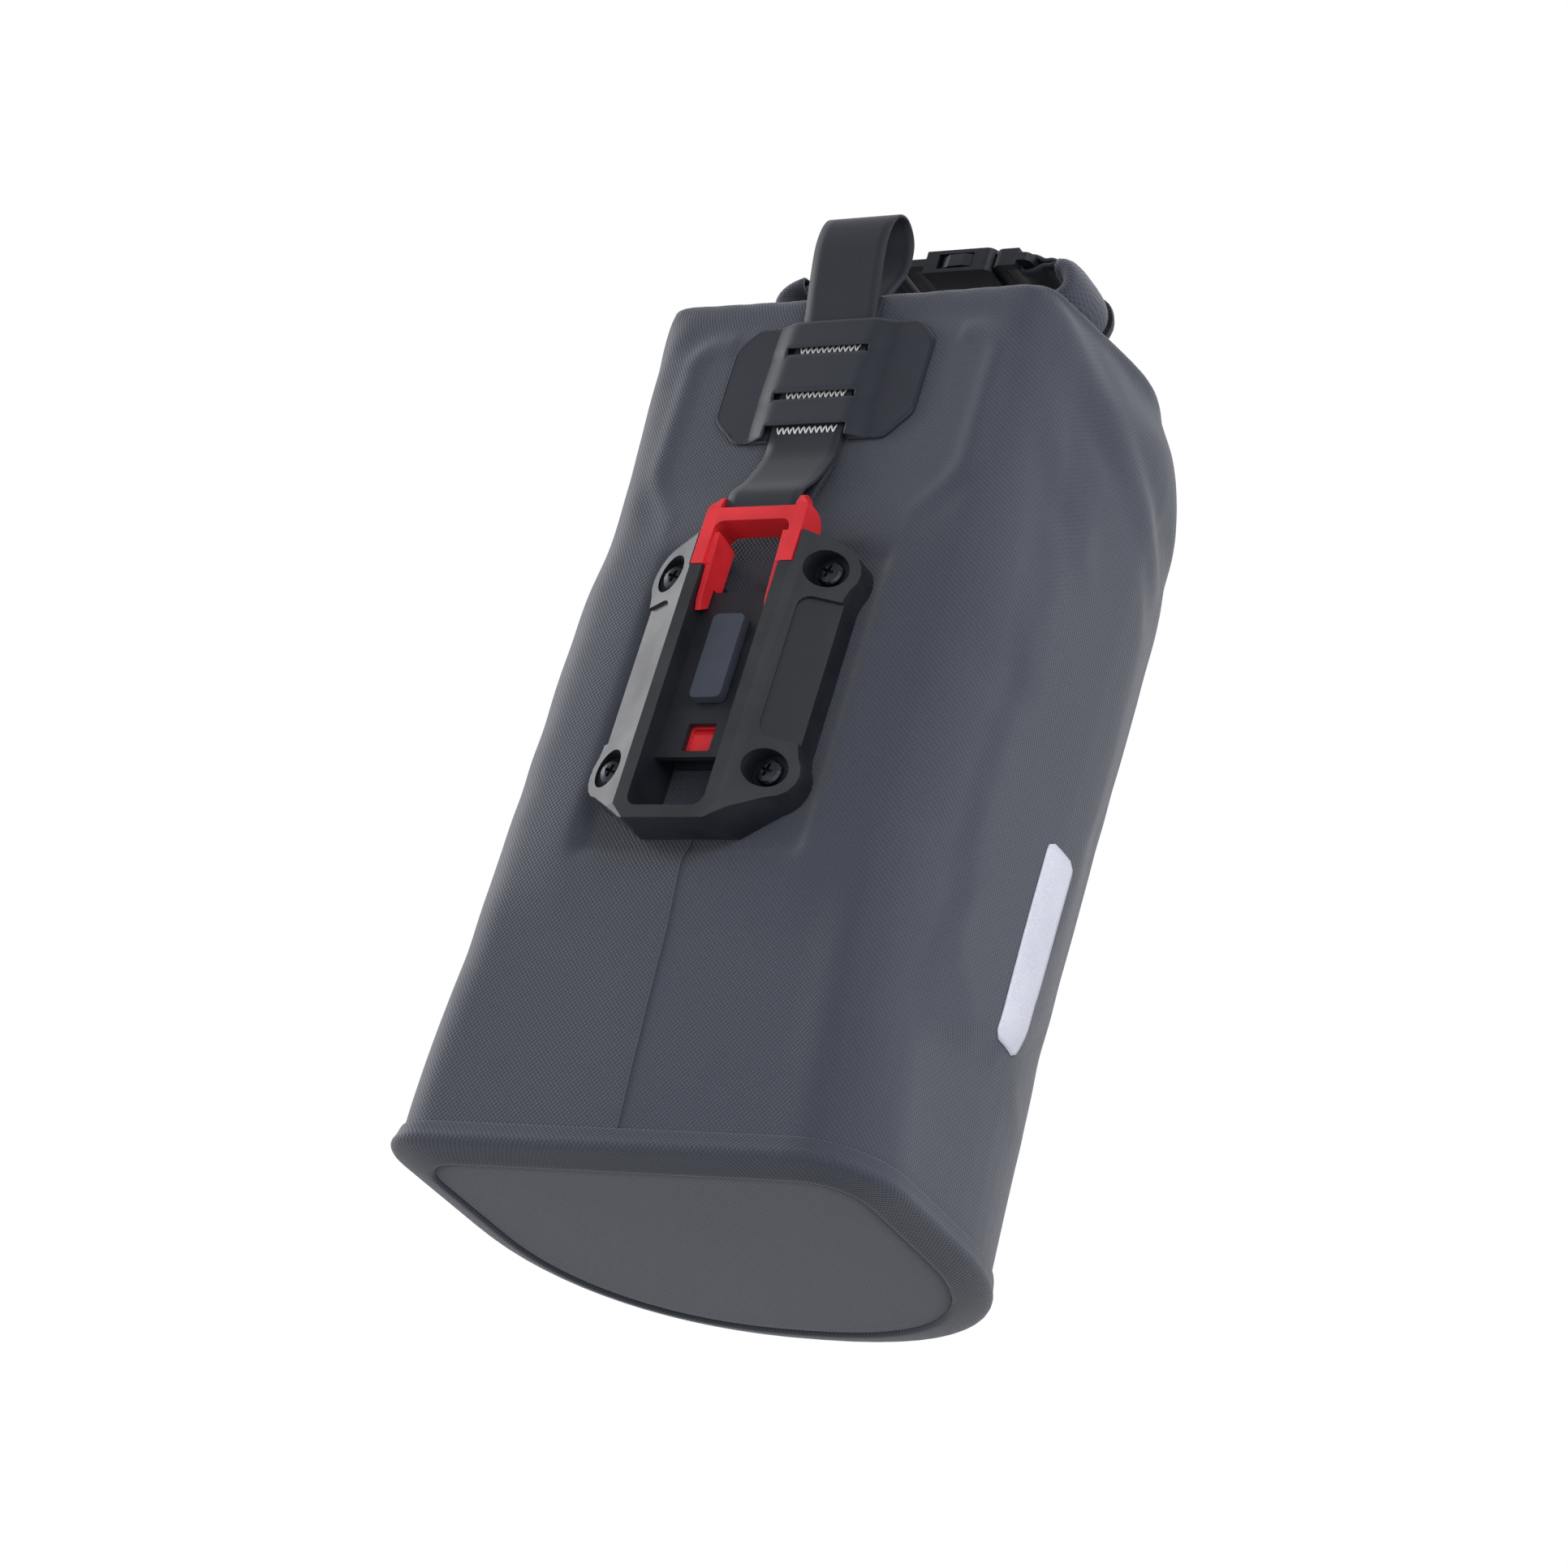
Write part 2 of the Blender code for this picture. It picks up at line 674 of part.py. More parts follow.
def drill_screw_holes(obj, cutters, front, back, radius=SCREW_RADIUS + GAP):
    for x, z in screw_places():
        drill = cylinder_mesh("screw_hole", radius, (x, front, z), (x, back, z), 16)
        boolean(obj, cutter("screw_hole", drill, cutters))
    apply_all(obj)


def build_bracket_housing(group, cutters, finish):
    """A U of two rails open at the top, with sloping flanges, four bosses and a floor in the channel."""
    depth = BRACKET_BACK - BRACKET_FRONT
    middle = (BRACKET_BACK + BRACKET_FRONT) / 2
    housing = outline_plate("bracket_housing", [bracket_outline()], depth, group, finish, middle)
    front, back = BRACKET_FRONT - 0.002, BRACKET_BACK + 0.002
    half = CHANNEL_HALF
    channel = rounded_rectangle(-half, half, CHANNEL_BOTTOM, RAIL_TOP + 0.010, 0.0035)
    through_low = [(x, min(z, FLOOR_BOTTOM)) for x, z in channel]
    above = RAIL_TOP + 0.010
    through_high = [(-half, FLOOR_TOP), (half, FLOOR_TOP), (half, above), (-half, above)]
    latch = rounded_rectangle(-half, half, FLOOR_BOTTOM - 0.001, FLOOR_TOP + 0.001, 0.0005)
    window = rounded_rectangle(-0.0047, 0.0047, 0.1185, 0.1275, 0.0006)
    cuts = (
        ("channel", channel, front, FLOOR_FRONT),
        ("below_floor", through_low, front, back),
        ("above_floor", through_high, front, back),
        ("latch_space", latch, FLOOR_BACK, back),
        ("window", window, front, back),
    )
    for name, outline, near, far in cuts:
        mesh = loft_mesh(name, [[(x, y, z) for x, z in outline] for y in (near, far)])
        boolean(housing, cutter(name, mesh, cutters))
    edge, low = RAIL_OUTER, RAIL_BOTTOM
    flank_run = FLANGE_HALF - RAIL_OUTER
    for start, end, run in (
        ((edge, low), (edge, 0.190), flank_run),
        ((-edge, 0.190), (-edge, low), flank_run),
        ((edge - 0.0045, low), (edge, low + 0.0045), 0.0130),
        ((-edge, low + 0.0045), (-edge + 0.0045, low), 0.0130),
    ):
        boolean(housing, slope_cutter(start, end, run, cutters))
    for side in (-1, 1):
        boolean(housing, recess_cutter(side, cutters))
    wedge = [(front, low - 0.010), (front, low - 0.001), (BRACKET_FRONT + 0.0030, low - 0.0010)]
    wedge += [(back, low + 0.0026), (back, low - 0.010)]
    mesh = loft_mesh("underside", [[(x, y, z) for y, z in wedge] for x in (-0.0185, 0.0185)])
    boolean(housing, cutter("underside", mesh, cutters))
    apply_all(housing)
    ledge = box_mesh(
        "spring_ledge",
        (-SPRING_SEAT_HALF, FLOOR_BACK - 0.0005, SPRING_TOP),
        (SPRING_SEAT_HALF, SPRING_SEAT_BACK, FLOOR_TOP),
    )
    boolean(housing, cutter("spring_ledge", ledge, cutters), "UNION")
    for x, z in screw_places():
        bore = cylinder_mesh("counterbore", COUNTERBORE_RADIUS, (x, -0.095, z), (x, COUNTERBORE_Y, z), 24)
        boolean(housing, cutter("counterbore", bore, cutters))
    drill_screw_holes(housing, cutters, -0.095, -0.060)
    soften(housing, 0.0005)
    finish_mesh(housing, finish)


def build_channel_pad(group, finish):
    """The raised pad in the channel that takes up play against the bike's side of the mount."""
    outline = rounded_rectangle(-0.0053, 0.0053, 0.134, 0.1617, 0.0018)
    thickness = 0.0034
    pad = outline_plate(
        "channel_pad", [outline], thickness, group, finish, FLOOR_FRONT - GAP - thickness / 2
    )
    bevel = pad.modifiers.new("edge", "BEVEL")
    bevel.width = 0.0006
    bevel.segments = 2
    bevel.limit_method = "ANGLE"
    bevel.angle_limit = math.radians(50)
    apply_all(pad)
    finish_mesh(pad, finish)


def build_latch_cover(group, finish):
    """Thin cover behind the latch space, against the fabric."""
    outline = rounded_rectangle(-0.0126, 0.0126, 0.1180, 0.1708, 0.001)
    cover = outline_plate("latch_cover", [outline], 0.0010, group, finish, BRACKET_BACK - 0.0006)
    finish_mesh(cover, finish)


def build_screw(name, x, z, group, cutters, finish):
    """A pan-head screw with a cross recess."""
    base = COUNTERBORE_Y - GAP
    profile = [
        (SCREW_RADIUS, SCREW_TIP),
        (SCREW_RADIUS, base),
        (HEAD_RADIUS, base),
        (HEAD_RADIUS, base - 0.0012),
        (HEAD_RADIUS * 0.85, base - 0.0021),
        (HEAD_RADIUS * 0.45, base - HEAD_HEIGHT),
    ]
    rings = [[(x + u, y, z + v) for u, v in arc((0, 0), radius, 0, 337.5, 15)] for radius, y in profile]
    screw = add_object(name, loft_mesh(name, rings), group)
    for angle in (20, 110):
        blade = box_mesh(
            "cross_recess",
            (-0.0020, base - HEAD_HEIGHT - 0.001, -0.00045),
            (0.0020, base - HEAD_HEIGHT + 0.0014, 0.00045),
        )
        blade.transform(Matrix.Rotation(math.radians(angle), 4, "Y"))
        blade.transform(Matrix.Translation((x, 0.0, z)))
        boolean(screw, cutter("cross_recess", blade, cutters))
    apply_all(screw)
    finish_mesh(screw, finish)


def build_shank_ring(name, place, outer_radius, front, back, sides, group, finish):
    """A ring on a screw's shank: a washer, or a six-sided insert."""
    bm = bmesh.new()
    loops = []
    inner_radius = SCREW_RADIUS + GAP
    section = ((inner_radius, front), (outer_radius, front), (outer_radius, back), (inner_radius, back))
    for radius, y in section:
        ring = arc(place, radius, 0, 360 - 360 / sides, sides - 1)
        loops.append([bm.verts.new((x, y, z)) for x, z in ring])
    for low, high in zip(loops, loops[1:] + loops[:1]):
        for i in range(sides):
            j = (i + 1) % sides
            bm.faces.new((low[i], low[j], high[j], high[i]))
    finish_mesh(add_object(name, mesh_from_bmesh(name, bm), group), finish)


def build_fasteners(group, cutters, steel, rubber):
    """At each corner of the bracket: a screw, a sealing washer and an insert inside the bag."""
    washer_front = FRONT_Y + FABRIC + BACKING_PLATE + 2 * GAP
    insert_front = washer_front + WASHER_THICKNESS + GAP
    for n, (x, z) in enumerate(screw_places(), start=1):
        build_screw(f"mounting_screw_{n}", x, z, group, cutters, steel)
        ends = (washer_front, washer_front + WASHER_THICKNESS)
        build_shank_ring(f"sealing_washer_{n}", (x, z), 0.0042, *ends, 16, group, rubber)
        ends = (insert_front, insert_front + INSERT_THICKNESS)
        build_shank_ring(f"screw_insert_{n}", (x, z), 0.0040, *ends, 6, group, steel)


# ---------------------------------------------------------------- slider, catch and spring


def slider_head_outline():
    """Front view of the slider's head: an upside-down U with two horns above its crossbar."""
    outer, inner, notch = RAIL_OUTER, CHANNEL_HALF, STRAP_WIDTH / 2 + 0.0004
    foot = RAIL_TOP + GAP
    left = [(-outer, foot), (-outer, 0.1935)]
    left += arc((-outer + 0.0050, 0.1945), 0.0050, 172, 118, 3)
    left += arc((-notch - 0.0009, SLIDER_TOP - 0.0009), 0.0009, 110, 0, 2)
    left += [(-notch, CROSSBAR_TOP)]
    under = arc((inner - 0.0030, CROSSBAR_BOTTOM - 0.0030), 0.0030, 0, 90, 4)
    right_side = [(-x, z) for x, z in reversed(left)]
    underside = [(inner, foot)] + under + [(-x, z) for x, z in reversed(under)] + [(-inner, foot)]
    return left + right_side + underside


def head_side_profile():
    """Side view (y, z) that rounds the head's top from front to back."""
    front, back, foot = BRACKET_FRONT, ARM_BACK, RAIL_TOP
    return [
        (front, foot - 0.002),
        (front, SLIDER_TOP - 0.0040),
        (front + 0.0010, SLIDER_TOP - 0.0012),
        (front + 0.0030, SLIDER_TOP + 0.0001),
        (front + 0.0055, SLIDER_TOP - 0.0006),
        (back - 0.0012, CROSSBAR_BOTTOM + 0.0020),
        (back, CROSSBAR_BOTTOM - 0.0030),
        (back, foot - 0.002),
    ]


def blade_profile():
    """Side view of the inner blade and leg, which stay inside the channel."""
    return [
        (BRACKET_FRONT + 0.0007, CROSSBAR_BOTTOM - 0.0035),
        (ARM_BACK - 0.0002, CROSSBAR_BOTTOM - 0.0045),
        (ARM_BACK - 0.0002, 0.1197),
        (FLOOR_BACK + GAP, 0.1197),
        (FLOOR_BACK + GAP, FLOOR_TOP + 0.0008),
        (FLOOR_FRONT - GAP, FLOOR_TOP + 0.0008),
        (FLOOR_FRONT - GAP, 0.1655),
        (BRACKET_FRONT + 0.0030, 0.1632),
        (BRACKET_FRONT + 0.0020, 0.1660),
    ]


def build_release_slider(group, cutters, finish):
    """The slider: a U-shaped head with horns and a strap bar, two legs, and a link plate behind the floor."""
    inner = CHANNEL_HALF
    leg_inner, leg_outer = 0.0108, CHANNEL_HALF - GAP
    rings = [[(x, y, z) for x, z in slider_head_outline()] for y in (BRACKET_FRONT, ARM_BACK)]
    slider = add_object("release_slider", loft_mesh("release_slider", rings), group)
    side_rings = [[(x, y, z) for y, z in head_side_profile()] for x in (-0.020, 0.020)]
    boolean(slider, cutter("head_side", loft_mesh("head_side", side_rings), cutters), "INTERSECT")
    well = box_mesh(
        "strap_well",
        (-STRAP_WIDTH / 2 - 0.0004, BRACKET_FRONT + 0.0012, CROSSBAR_BOTTOM + 0.0012),
        (STRAP_WIDTH / 2 + 0.0004, ARM_BACK + 0.002, SLIDER_TOP + 0.002),
    )
    boolean(slider, cutter("strap_well", well, cutters))
    apply_all(slider)
    parts = []
    for side in (-1, 1):
        low, high = sorted((side * leg_inner, side * leg_outer))
        rings = [[(x, y, z) for y, z in blade_profile()] for x in (low, high)]
        parts.append(loft_mesh("blade", rings))
        low, high = sorted((side * (leg_inner + 0.0003), side * (inner + 0.0010)))
        web_low = (low, BRACKET_FRONT + 0.0010, RAIL_TOP + GAP + 0.0004)
        web_high = (high, ARM_BACK - 0.0006, CROSSBAR_BOTTOM - 0.0050)
        parts.append(box_mesh("web", web_low, web_high))
    bar_z = CROSSBAR_BOTTOM + STRAP_BAR_RISE
    bar_end = inner + 0.0010
    bar = cylinder_mesh(
        "strap_bar", STRAP_BAR_RADIUS, (-bar_end, STRAP_BAR_Y, bar_z), (bar_end, STRAP_BAR_Y, bar_z), 12
    )
    link = box_mesh(
        "link_plate",
        (-leg_inner - 0.0005, FLOOR_BACK + GAP + 0.0001, 0.1200),
        (leg_inner + 0.0005, ARM_BACK - 0.0003, SPRING_BOTTOM),
    )
    tab = box_mesh(
        "spring_tab",
        (-SPRING_SEAT_HALF, ARM_BACK - 0.0010, SPRING_BOTTOM - 0.0015),
        (SPRING_SEAT_HALF, SPRING_SEAT_BACK, SPRING_BOTTOM - 0.0002),
    )
    for mesh in (*parts, bar, link, tab):
        boolean(slider, cutter(mesh.name, mesh, cutters), "UNION")
    seat = box_mesh("catch_seat", (-0.0042, -0.085, 0.1190), (0.0042, -0.070, 0.1272))
    boolean(slider, cutter("catch_seat", seat, cutters))
    apply_all(slider)
    soften(slider, 0.0004)
    finish_mesh(slider, finish)


def build_lock_catch(group, finish):
    """The catch that shows in the floor's window and hooks the bike's side of the mount."""
    profile = [
        (FLOOR_BACK + GAP, 0.1195),
        (FLOOR_BACK + GAP, 0.1250),
        (FLOOR_BACK + 0.0012, 0.1269),
        (-0.0745, 0.1269),
        (-0.0745, 0.1195),
    ]
    rings = [[(x, y, z) for y, z in profile] for x in (-0.0039, 0.0039)]
    catch = add_object("lock_catch", loft_mesh("lock_catch", rings), group)
    finish_mesh(catch, finish)


def build_return_spring(group, finish):
    """The spring between the slider's tab and the housing's ledge, which pulls the slider down."""
    turns, radius, wire = 9, 0.0019, 0.00028
    low, high = SPRING_BOTTOM + GAP + wire, SPRING_TOP - GAP - wire
    curve = bpy.data.curves.new("return_spring", "CURVE")
    curve.dimensions = "3D"
    curve.bevel_depth = wire
    curve.bevel_resolution = 1
    curve.use_fill_caps = True
    spline = curve.splines.new("POLY")
    steps = turns * 10
    spline.points.add(steps)
    for i, point in enumerate(spline.points):
        angle = 2 * math.pi * turns * i / steps
        height = low + (high - low) * i / steps
        point.co = (radius * math.cos(angle), SPRING_Y + radius * math.sin(angle), height, 1.0)
    spring = as_mesh_object(add_object("return_spring", curve, group, finish), group)
    finish_mesh(spring, finish, 60.0)


# ---------------------------------------------------------------- strap and patch


def build_pull_strap(group, finish):
    """A closed band of webbing: a finger loop on top, two plies through the patch, a turn round the bar."""
    front, rear = STRAP_PLY_Y
    bar_y, bar_z = STRAP_BAR_Y, CROSSBAR_BOTTOM + STRAP_BAR_RISE
    wrap = STRAP_BAR_RADIUS + 0.0005 + STRAP_THICKNESS / 2
    path = [
        (bar_y - wrap, bar_z + 0.0010),
        (bar_y - wrap * 0.98, bar_z + 0.0060),
        (front - 0.0040, 0.2110),
        (front, 0.2205),
        (front, 0.2360),
        (front, 0.2560),
        (front - 0.0002, 0.2700),
        (front - 0.0030, 0.2820),
        (front - 0.0052, 0.2950),
        (front - 0.0040, 0.3035),
        (front + 0.0010, 0.3060),
        (rear + 0.0058, 0.3010),
        (rear + 0.0060, 0.2910),
        (rear + 0.0006, 0.2780),
        (rear, 0.2700),
        (rear, 0.2560),
        (rear, 0.2360),
        (rear, 0.2205),
        (rear - 0.0030, 0.2100),
        (bar_y + wrap, bar_z + 0.0040),
        (bar_y + wrap * 0.9, bar_z - wrap * 0.45),
        (bar_y, bar_z - wrap),
        (bar_y - wrap * 0.9, bar_z - wrap * 0.45),
    ]
    plane = Matrix(((0, 0, 1, 0), (1, 0, 0, 0), (0, 1, 0, 0), (0, 0, 0, 1)))
    strap = ribbon_loop("pull_strap", path, STRAP_WIDTH, STRAP_THICKNESS, group, finish, plane)
    apply_all(strap)
    finish_mesh(strap, finish, 50.0)


def build_strap_stitching(group, finish):
    """A zigzag seam across the strap's front ply at each slot of the patch, and one at its lower end."""
    thread = 0.00022
    seam_y = STRAP_PLY_Y[0] - STRAP_THICKNESS / 2 - GAP - thread
    half, steps, swing = 0.0100, 16, 0.0007
    for n, z in enumerate((NOTCH_TOP - 0.0012, *SLOT_Z), start=1):
        curve = bpy.data.curves.new("seam", "CURVE")
        curve.dimensions = "3D"
        curve.bevel_depth = thread
        curve.bevel_resolution = 0
        curve.use_fill_caps = True
        spline = curve.splines.new("POLY")
        spline.points.add(steps)
        for i, point in enumerate(spline.points):
            point.co = (half * (2 * i / steps - 1), seam_y, z + swing * (-1) ** i, 1.0)
        seam = as_mesh_object(add_object(f"strap_stitching_{n}", curve, group, finish), group)
        finish_mesh(seam, finish)


def build_strap_patch(group, cutters, finish):
    """The welded patch: flat wings, a raised bridge over the strap, two slots and a notch in the bridge."""
    wing_back = FRONT_Y - GAP
    wing_front = wing_back - PATCH_THICKNESS
    bridge_back = BRIDGE_Y + PATCH_THICKNESS
    half = BRIDGE_HALF
    right = [(PATCH_HALF, wing_back), (PATCH_HALF, wing_front), (half + 0.0016, wing_front), (half, BRIDGE_Y)]
    inside = [(half - 0.0009, bridge_back), (half + 0.0008, wing_back)]
    outline = right + [(-x, y) for x, y in reversed(right)] + [(-x, y) for x, y in reversed(inside)] + inside
    rings = [[(x, y, z) for x, y in outline] for z in (PATCH_BOTTOM, PATCH_TOP)]
    mesh = loft_mesh("strap_patch", rings)
    patch = add_object("strap_patch", mesh, group)
    cuts = []
    for z in SLOT_Z:
        slot_low = (-half + 0.0004, -0.090, z - 0.0012)
        slot_high = (half - 0.0004, bridge_back + 0.0006, z + 0.0012)
        cuts.append(box_mesh("slot", slot_low, slot_high))
    notch_low = (-half - 0.0009, -0.090, PATCH_BOTTOM - 0.001)
    notch_high = (half + 0.0009, -0.0660, NOTCH_TOP)
    cuts.append(box_mesh("notch", notch_low, notch_high))
    for side in (-1, 1):
        for edge_z, reach in ((PATCH_TOP, 0.0065), (PATCH_BOTTOM, 0.0085)):
            block = box_mesh("corner", (-0.020, -0.085, -0.020), (0.020, -0.068, 0.020))
            block.transform(Matrix.Rotation(math.pi / 4, 4, "Y"))
            out = 0.020 * math.sqrt(2) - reach
            block.transform(Matrix.Translation((side * (PATCH_HALF + out), 0.0, edge_z)))
            cuts.append(block)
    for mesh in cuts:
        boolean(patch, cutter(mesh.name, mesh, cutters))
    apply_all(patch)
    finish_mesh(patch, finish)


def main():
    clear_scene()
    group = collection("pannier_bag")
    cutters = collection("cutters")
    fabric = material("coated_fabric", (0.070, 0.073, 0.085), 0.62)
    hem = material("welded_hem", (0.055, 0.057, 0.066), 0.55)
    panel = material("stiff_sheet", (0.030, 0.031, 0.035), 0.6)
    webbing = material("smooth_webbing", (0.034, 0.037, 0.046), 0.5)
    thread = material("white_thread", (0.75, 0.75, 0.76), 0.7)
    plastic = material("black_plastic", (0.025, 0.027, 0.032), 0.45)
    red = material("red_plastic", (0.76, 0.045, 0.05), 0.4)
    rubber = material("soft_rubber", (0.022, 0.023, 0.027), 0.75)
    steel = material("blackened_steel", (0.06, 0.06, 0.065), 0.35, 1.0)
    bright = material("spring_steel", (0.55, 0.55, 0.56), 0.3, 1.0)
    reflective = material("reflective_film", (0.58, 0.60, 0.68), 0.35)

    shell = build_bag_shell(group, fabric)
    drill_screw_holes(shell, cutters, FRONT_Y - 0.003, FRONT_Y + FABRIC + 0.003)
    plate = build_backing_plate(group, panel)
    drill_screw_holes(plate, cutters, FRONT_Y - 0.003, FRONT_Y + 0.010)
    build_base_panel(group, fabric)
    build_base_seam_band(group, hem)
    build_reflective_patch(group, reflective)
    build_closure_roll(group, fabric, panel)
    socket_bar = (SOCKET_LEFT + BUCKLE_BAR_WIDTH, SOCKET_LEFT)
    plug_bar = (PLUG_RIGHT - BUCKLE_BAR_WIDTH, PLUG_RIGHT)
    build_closure_tab("closure_tab_left", *socket_bar, TAB_FAR_ENDS[0], group, webbing)
    build_closure_tab("closure_tab_right", *plug_bar, TAB_FAR_ENDS[1], group, webbing)
    build_buckle_socket(group, cutters, plastic)
    build_buckle_plug(group, cutters, plastic)
    build_prong("buckle_prong_front", -1, group, plastic)
    build_prong("buckle_prong_rear", 1, group, plastic)
    build_bracket_housing(group, cutters, plastic)
    build_channel_pad(group, rubber)
    build_latch_cover(group, plastic)
    build_fasteners(group, cutters, steel, rubber)
    build_release_slider(group, cutters, red)
    build_lock_catch(group, red)
    build_return_spring(group, bright)
    build_pull_strap(group, webbing)
    build_strap_stitching(group, thread)
    build_strap_patch(group, cutters, webbing)


main()
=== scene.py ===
"""The looks of the pannier bag: a roll-top dry bag with a quick-release bracket on its flat front."""

import math

import bmesh
import bpy
from mathutils import Matrix, Vector
from mathutils.bvhtree import BVHTree


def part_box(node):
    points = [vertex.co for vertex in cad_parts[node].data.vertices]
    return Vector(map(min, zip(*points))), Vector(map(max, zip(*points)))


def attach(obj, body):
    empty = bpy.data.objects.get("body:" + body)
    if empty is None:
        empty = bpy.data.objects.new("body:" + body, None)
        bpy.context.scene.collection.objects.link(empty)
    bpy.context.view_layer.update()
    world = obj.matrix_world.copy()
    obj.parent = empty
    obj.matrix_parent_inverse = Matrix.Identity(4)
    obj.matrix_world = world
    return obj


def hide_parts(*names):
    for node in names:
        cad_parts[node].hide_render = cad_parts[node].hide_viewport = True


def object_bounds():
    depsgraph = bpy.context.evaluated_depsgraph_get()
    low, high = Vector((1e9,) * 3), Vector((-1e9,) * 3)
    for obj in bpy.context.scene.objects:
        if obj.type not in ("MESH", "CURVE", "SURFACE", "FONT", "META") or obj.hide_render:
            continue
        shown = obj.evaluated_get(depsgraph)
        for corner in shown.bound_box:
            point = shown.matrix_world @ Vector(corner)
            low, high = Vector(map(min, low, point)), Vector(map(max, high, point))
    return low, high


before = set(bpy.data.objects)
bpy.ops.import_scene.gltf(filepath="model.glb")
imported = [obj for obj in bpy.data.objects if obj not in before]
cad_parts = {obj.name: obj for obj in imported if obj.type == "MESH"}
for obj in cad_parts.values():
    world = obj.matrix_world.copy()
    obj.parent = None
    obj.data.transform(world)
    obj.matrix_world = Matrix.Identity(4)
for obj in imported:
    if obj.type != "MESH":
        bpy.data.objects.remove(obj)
cad_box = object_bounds()

# ---------------------------------------------------------------- sizes, in metres

SHELL_LOW, SHELL_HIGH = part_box("bag_shell")
ROLL_LOW, ROLL_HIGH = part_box("closure_roll")
PATCH_LOW, PATCH_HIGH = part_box("strap_patch")
BRACKET_LOW, BRACKET_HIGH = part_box("bracket_housing")
PLATE_LOW, PLATE_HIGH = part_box("backing_plate")
FILM_LOW, FILM_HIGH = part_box("reflective_patch")

HALF_WIDTH = 0.078
FRONT_Y = SHELL_LOW.y
REAR_Y = SHELL_HIGH.y
FABRIC = 0.0012
SIDE_SHARE = 0.45
CORNER = 0.016
ROLL_Y = (ROLL_LOW.y + ROLL_HIGH.y) / 2
FOLD_Z = 0.2838

HEM_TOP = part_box("base_seam_band")[1].z
RIM_WIDTH = 0.0082

BRIDGE_HALF = 0.0142
SLOT_Z = (0.2445, 0.2605)
NOTCH_TOP = 0.233
STRAP_WIDTH = 0.025
STRAP_THICKNESS = 0.0010
STRAP_PLY_Y = (-0.0731, -0.0719)
STRAP_BAR_Y = -0.0833
STRAP_BAR_Z = 0.1965
STRAP_WRAP = 0.00255

CAMERA_AZIMUTH = 36.69
CAMERA_ELEVATION = -24.78
CAMERA_ROLL = 17.1
CAMERA_DISTANCE = 1.3468
CAMERA_LENS = 109.1
CAMERA_AIM = Vector((0.0156, -0.0576, 0.1214))
WORLD_LIGHT = 0.45


# ---------------------------------------------------------------- mesh helpers


def add_mesh(name, points, faces, uvs=None, smooth=True):
    """A mesh object from points and faces, with its UVs per vertex if they are given."""
    mesh = bpy.data.meshes.new(name)
    mesh.from_pydata(points, [], faces)
    mesh.validate()
    obj = bpy.data.objects.new(name, mesh)
    bpy.context.scene.collection.objects.link(obj)
    if uvs is not None:
        layer = mesh.uv_layers.new(name="fabric")
        for loop in mesh.loops:
            layer.data[loop.index].uv = uvs[loop.vertex_index]
    for polygon in mesh.polygons:
        polygon.use_smooth = smooth
    return obj


def grid_faces(rows, columns, closed):
    """Quads between the rows of a grid, round to the first column again if it is closed."""
    faces = []
    last = columns if closed else columns - 1
    for row in range(rows - 1):
        for column in range(last):
            after = (column + 1) % columns
            low, high = row * columns, (row + 1) * columns
            faces.append((low + column, low + after, high + after, high + column))
    return faces


def apply_modifiers(obj):
    """Puts the object's modifiers into its mesh."""
    graph = bpy.context.evaluated_depsgraph_get()
    evaluated = obj.evaluated_get(graph)
    mesh = bpy.data.meshes.new_from_object(evaluated, preserve_all_data_layers=True, depsgraph=graph)
    obj.modifiers.clear()
    old = obj.data
    obj.data = mesh
    bpy.data.meshes.remove(old)
    return obj


def outward(obj):
    """Turns the faces outwards."""
    bm = bmesh.new()
    bm.from_mesh(obj.data)
    bmesh.ops.recalc_face_normals(bm, faces=bm.faces)
    bm.to_mesh(obj.data)
    bm.free()
    return obj


def thicken(obj, thickness, offset=-1.0):
    wall = obj.modifiers.new("wall", "SOLIDIFY")
    wall.thickness = thickness
    wall.offset = offset
    wall.use_even_offset = True
    return apply_modifiers(obj)


def subdivide(obj):
    surface = obj.modifiers.new("surface", "SUBSURF")
    surface.levels = 1
    surface.render_levels = 1
    return apply_modifiers(obj)


def smooth_step(value, low, high):
    share = min(max((value - low) / (high - low), 0.0), 1.0)
    return share * share * (3 - 2 * share)


def bump_at(distance, width):
    """A smooth hump: 1 at no distance, 0 from the width on."""
    share = min(abs(distance) / width, 1.0)
    return 0.5 + 0.5 * math.cos(math.pi * share)


def arc(centre, radius, start, end, steps):
    points = []
    for i in range(steps + 1):
        turn = math.radians(start + (end - start) * i / steps)
        points.append((centre[0] + radius * math.cos(turn), centre[1] + radius * math.sin(turn)))
    return points


def resample(points, count, closed=False):
    """The same number of evenly spaced points on the path, and each one's distance along it."""
    path = [Vector(point) for point in points]
    if closed:
        path.append(path[0])
    lengths = [0.0]
    for before, after in zip(path, path[1:]):
        lengths.append(lengths[-1] + (after - before).length)
    pieces = count if closed else count - 1
    result, index = [], 0
    for i in range(count):
        target = lengths[-1] * i / pieces
        while index < len(path) - 2 and lengths[index + 1] < target:
            index += 1
        span = lengths[index + 1] - lengths[index]
        share = (target - lengths[index]) / span if span else 0.0
        result.append(path[index].lerp(path[index + 1], share))
    return result, lengths[-1]


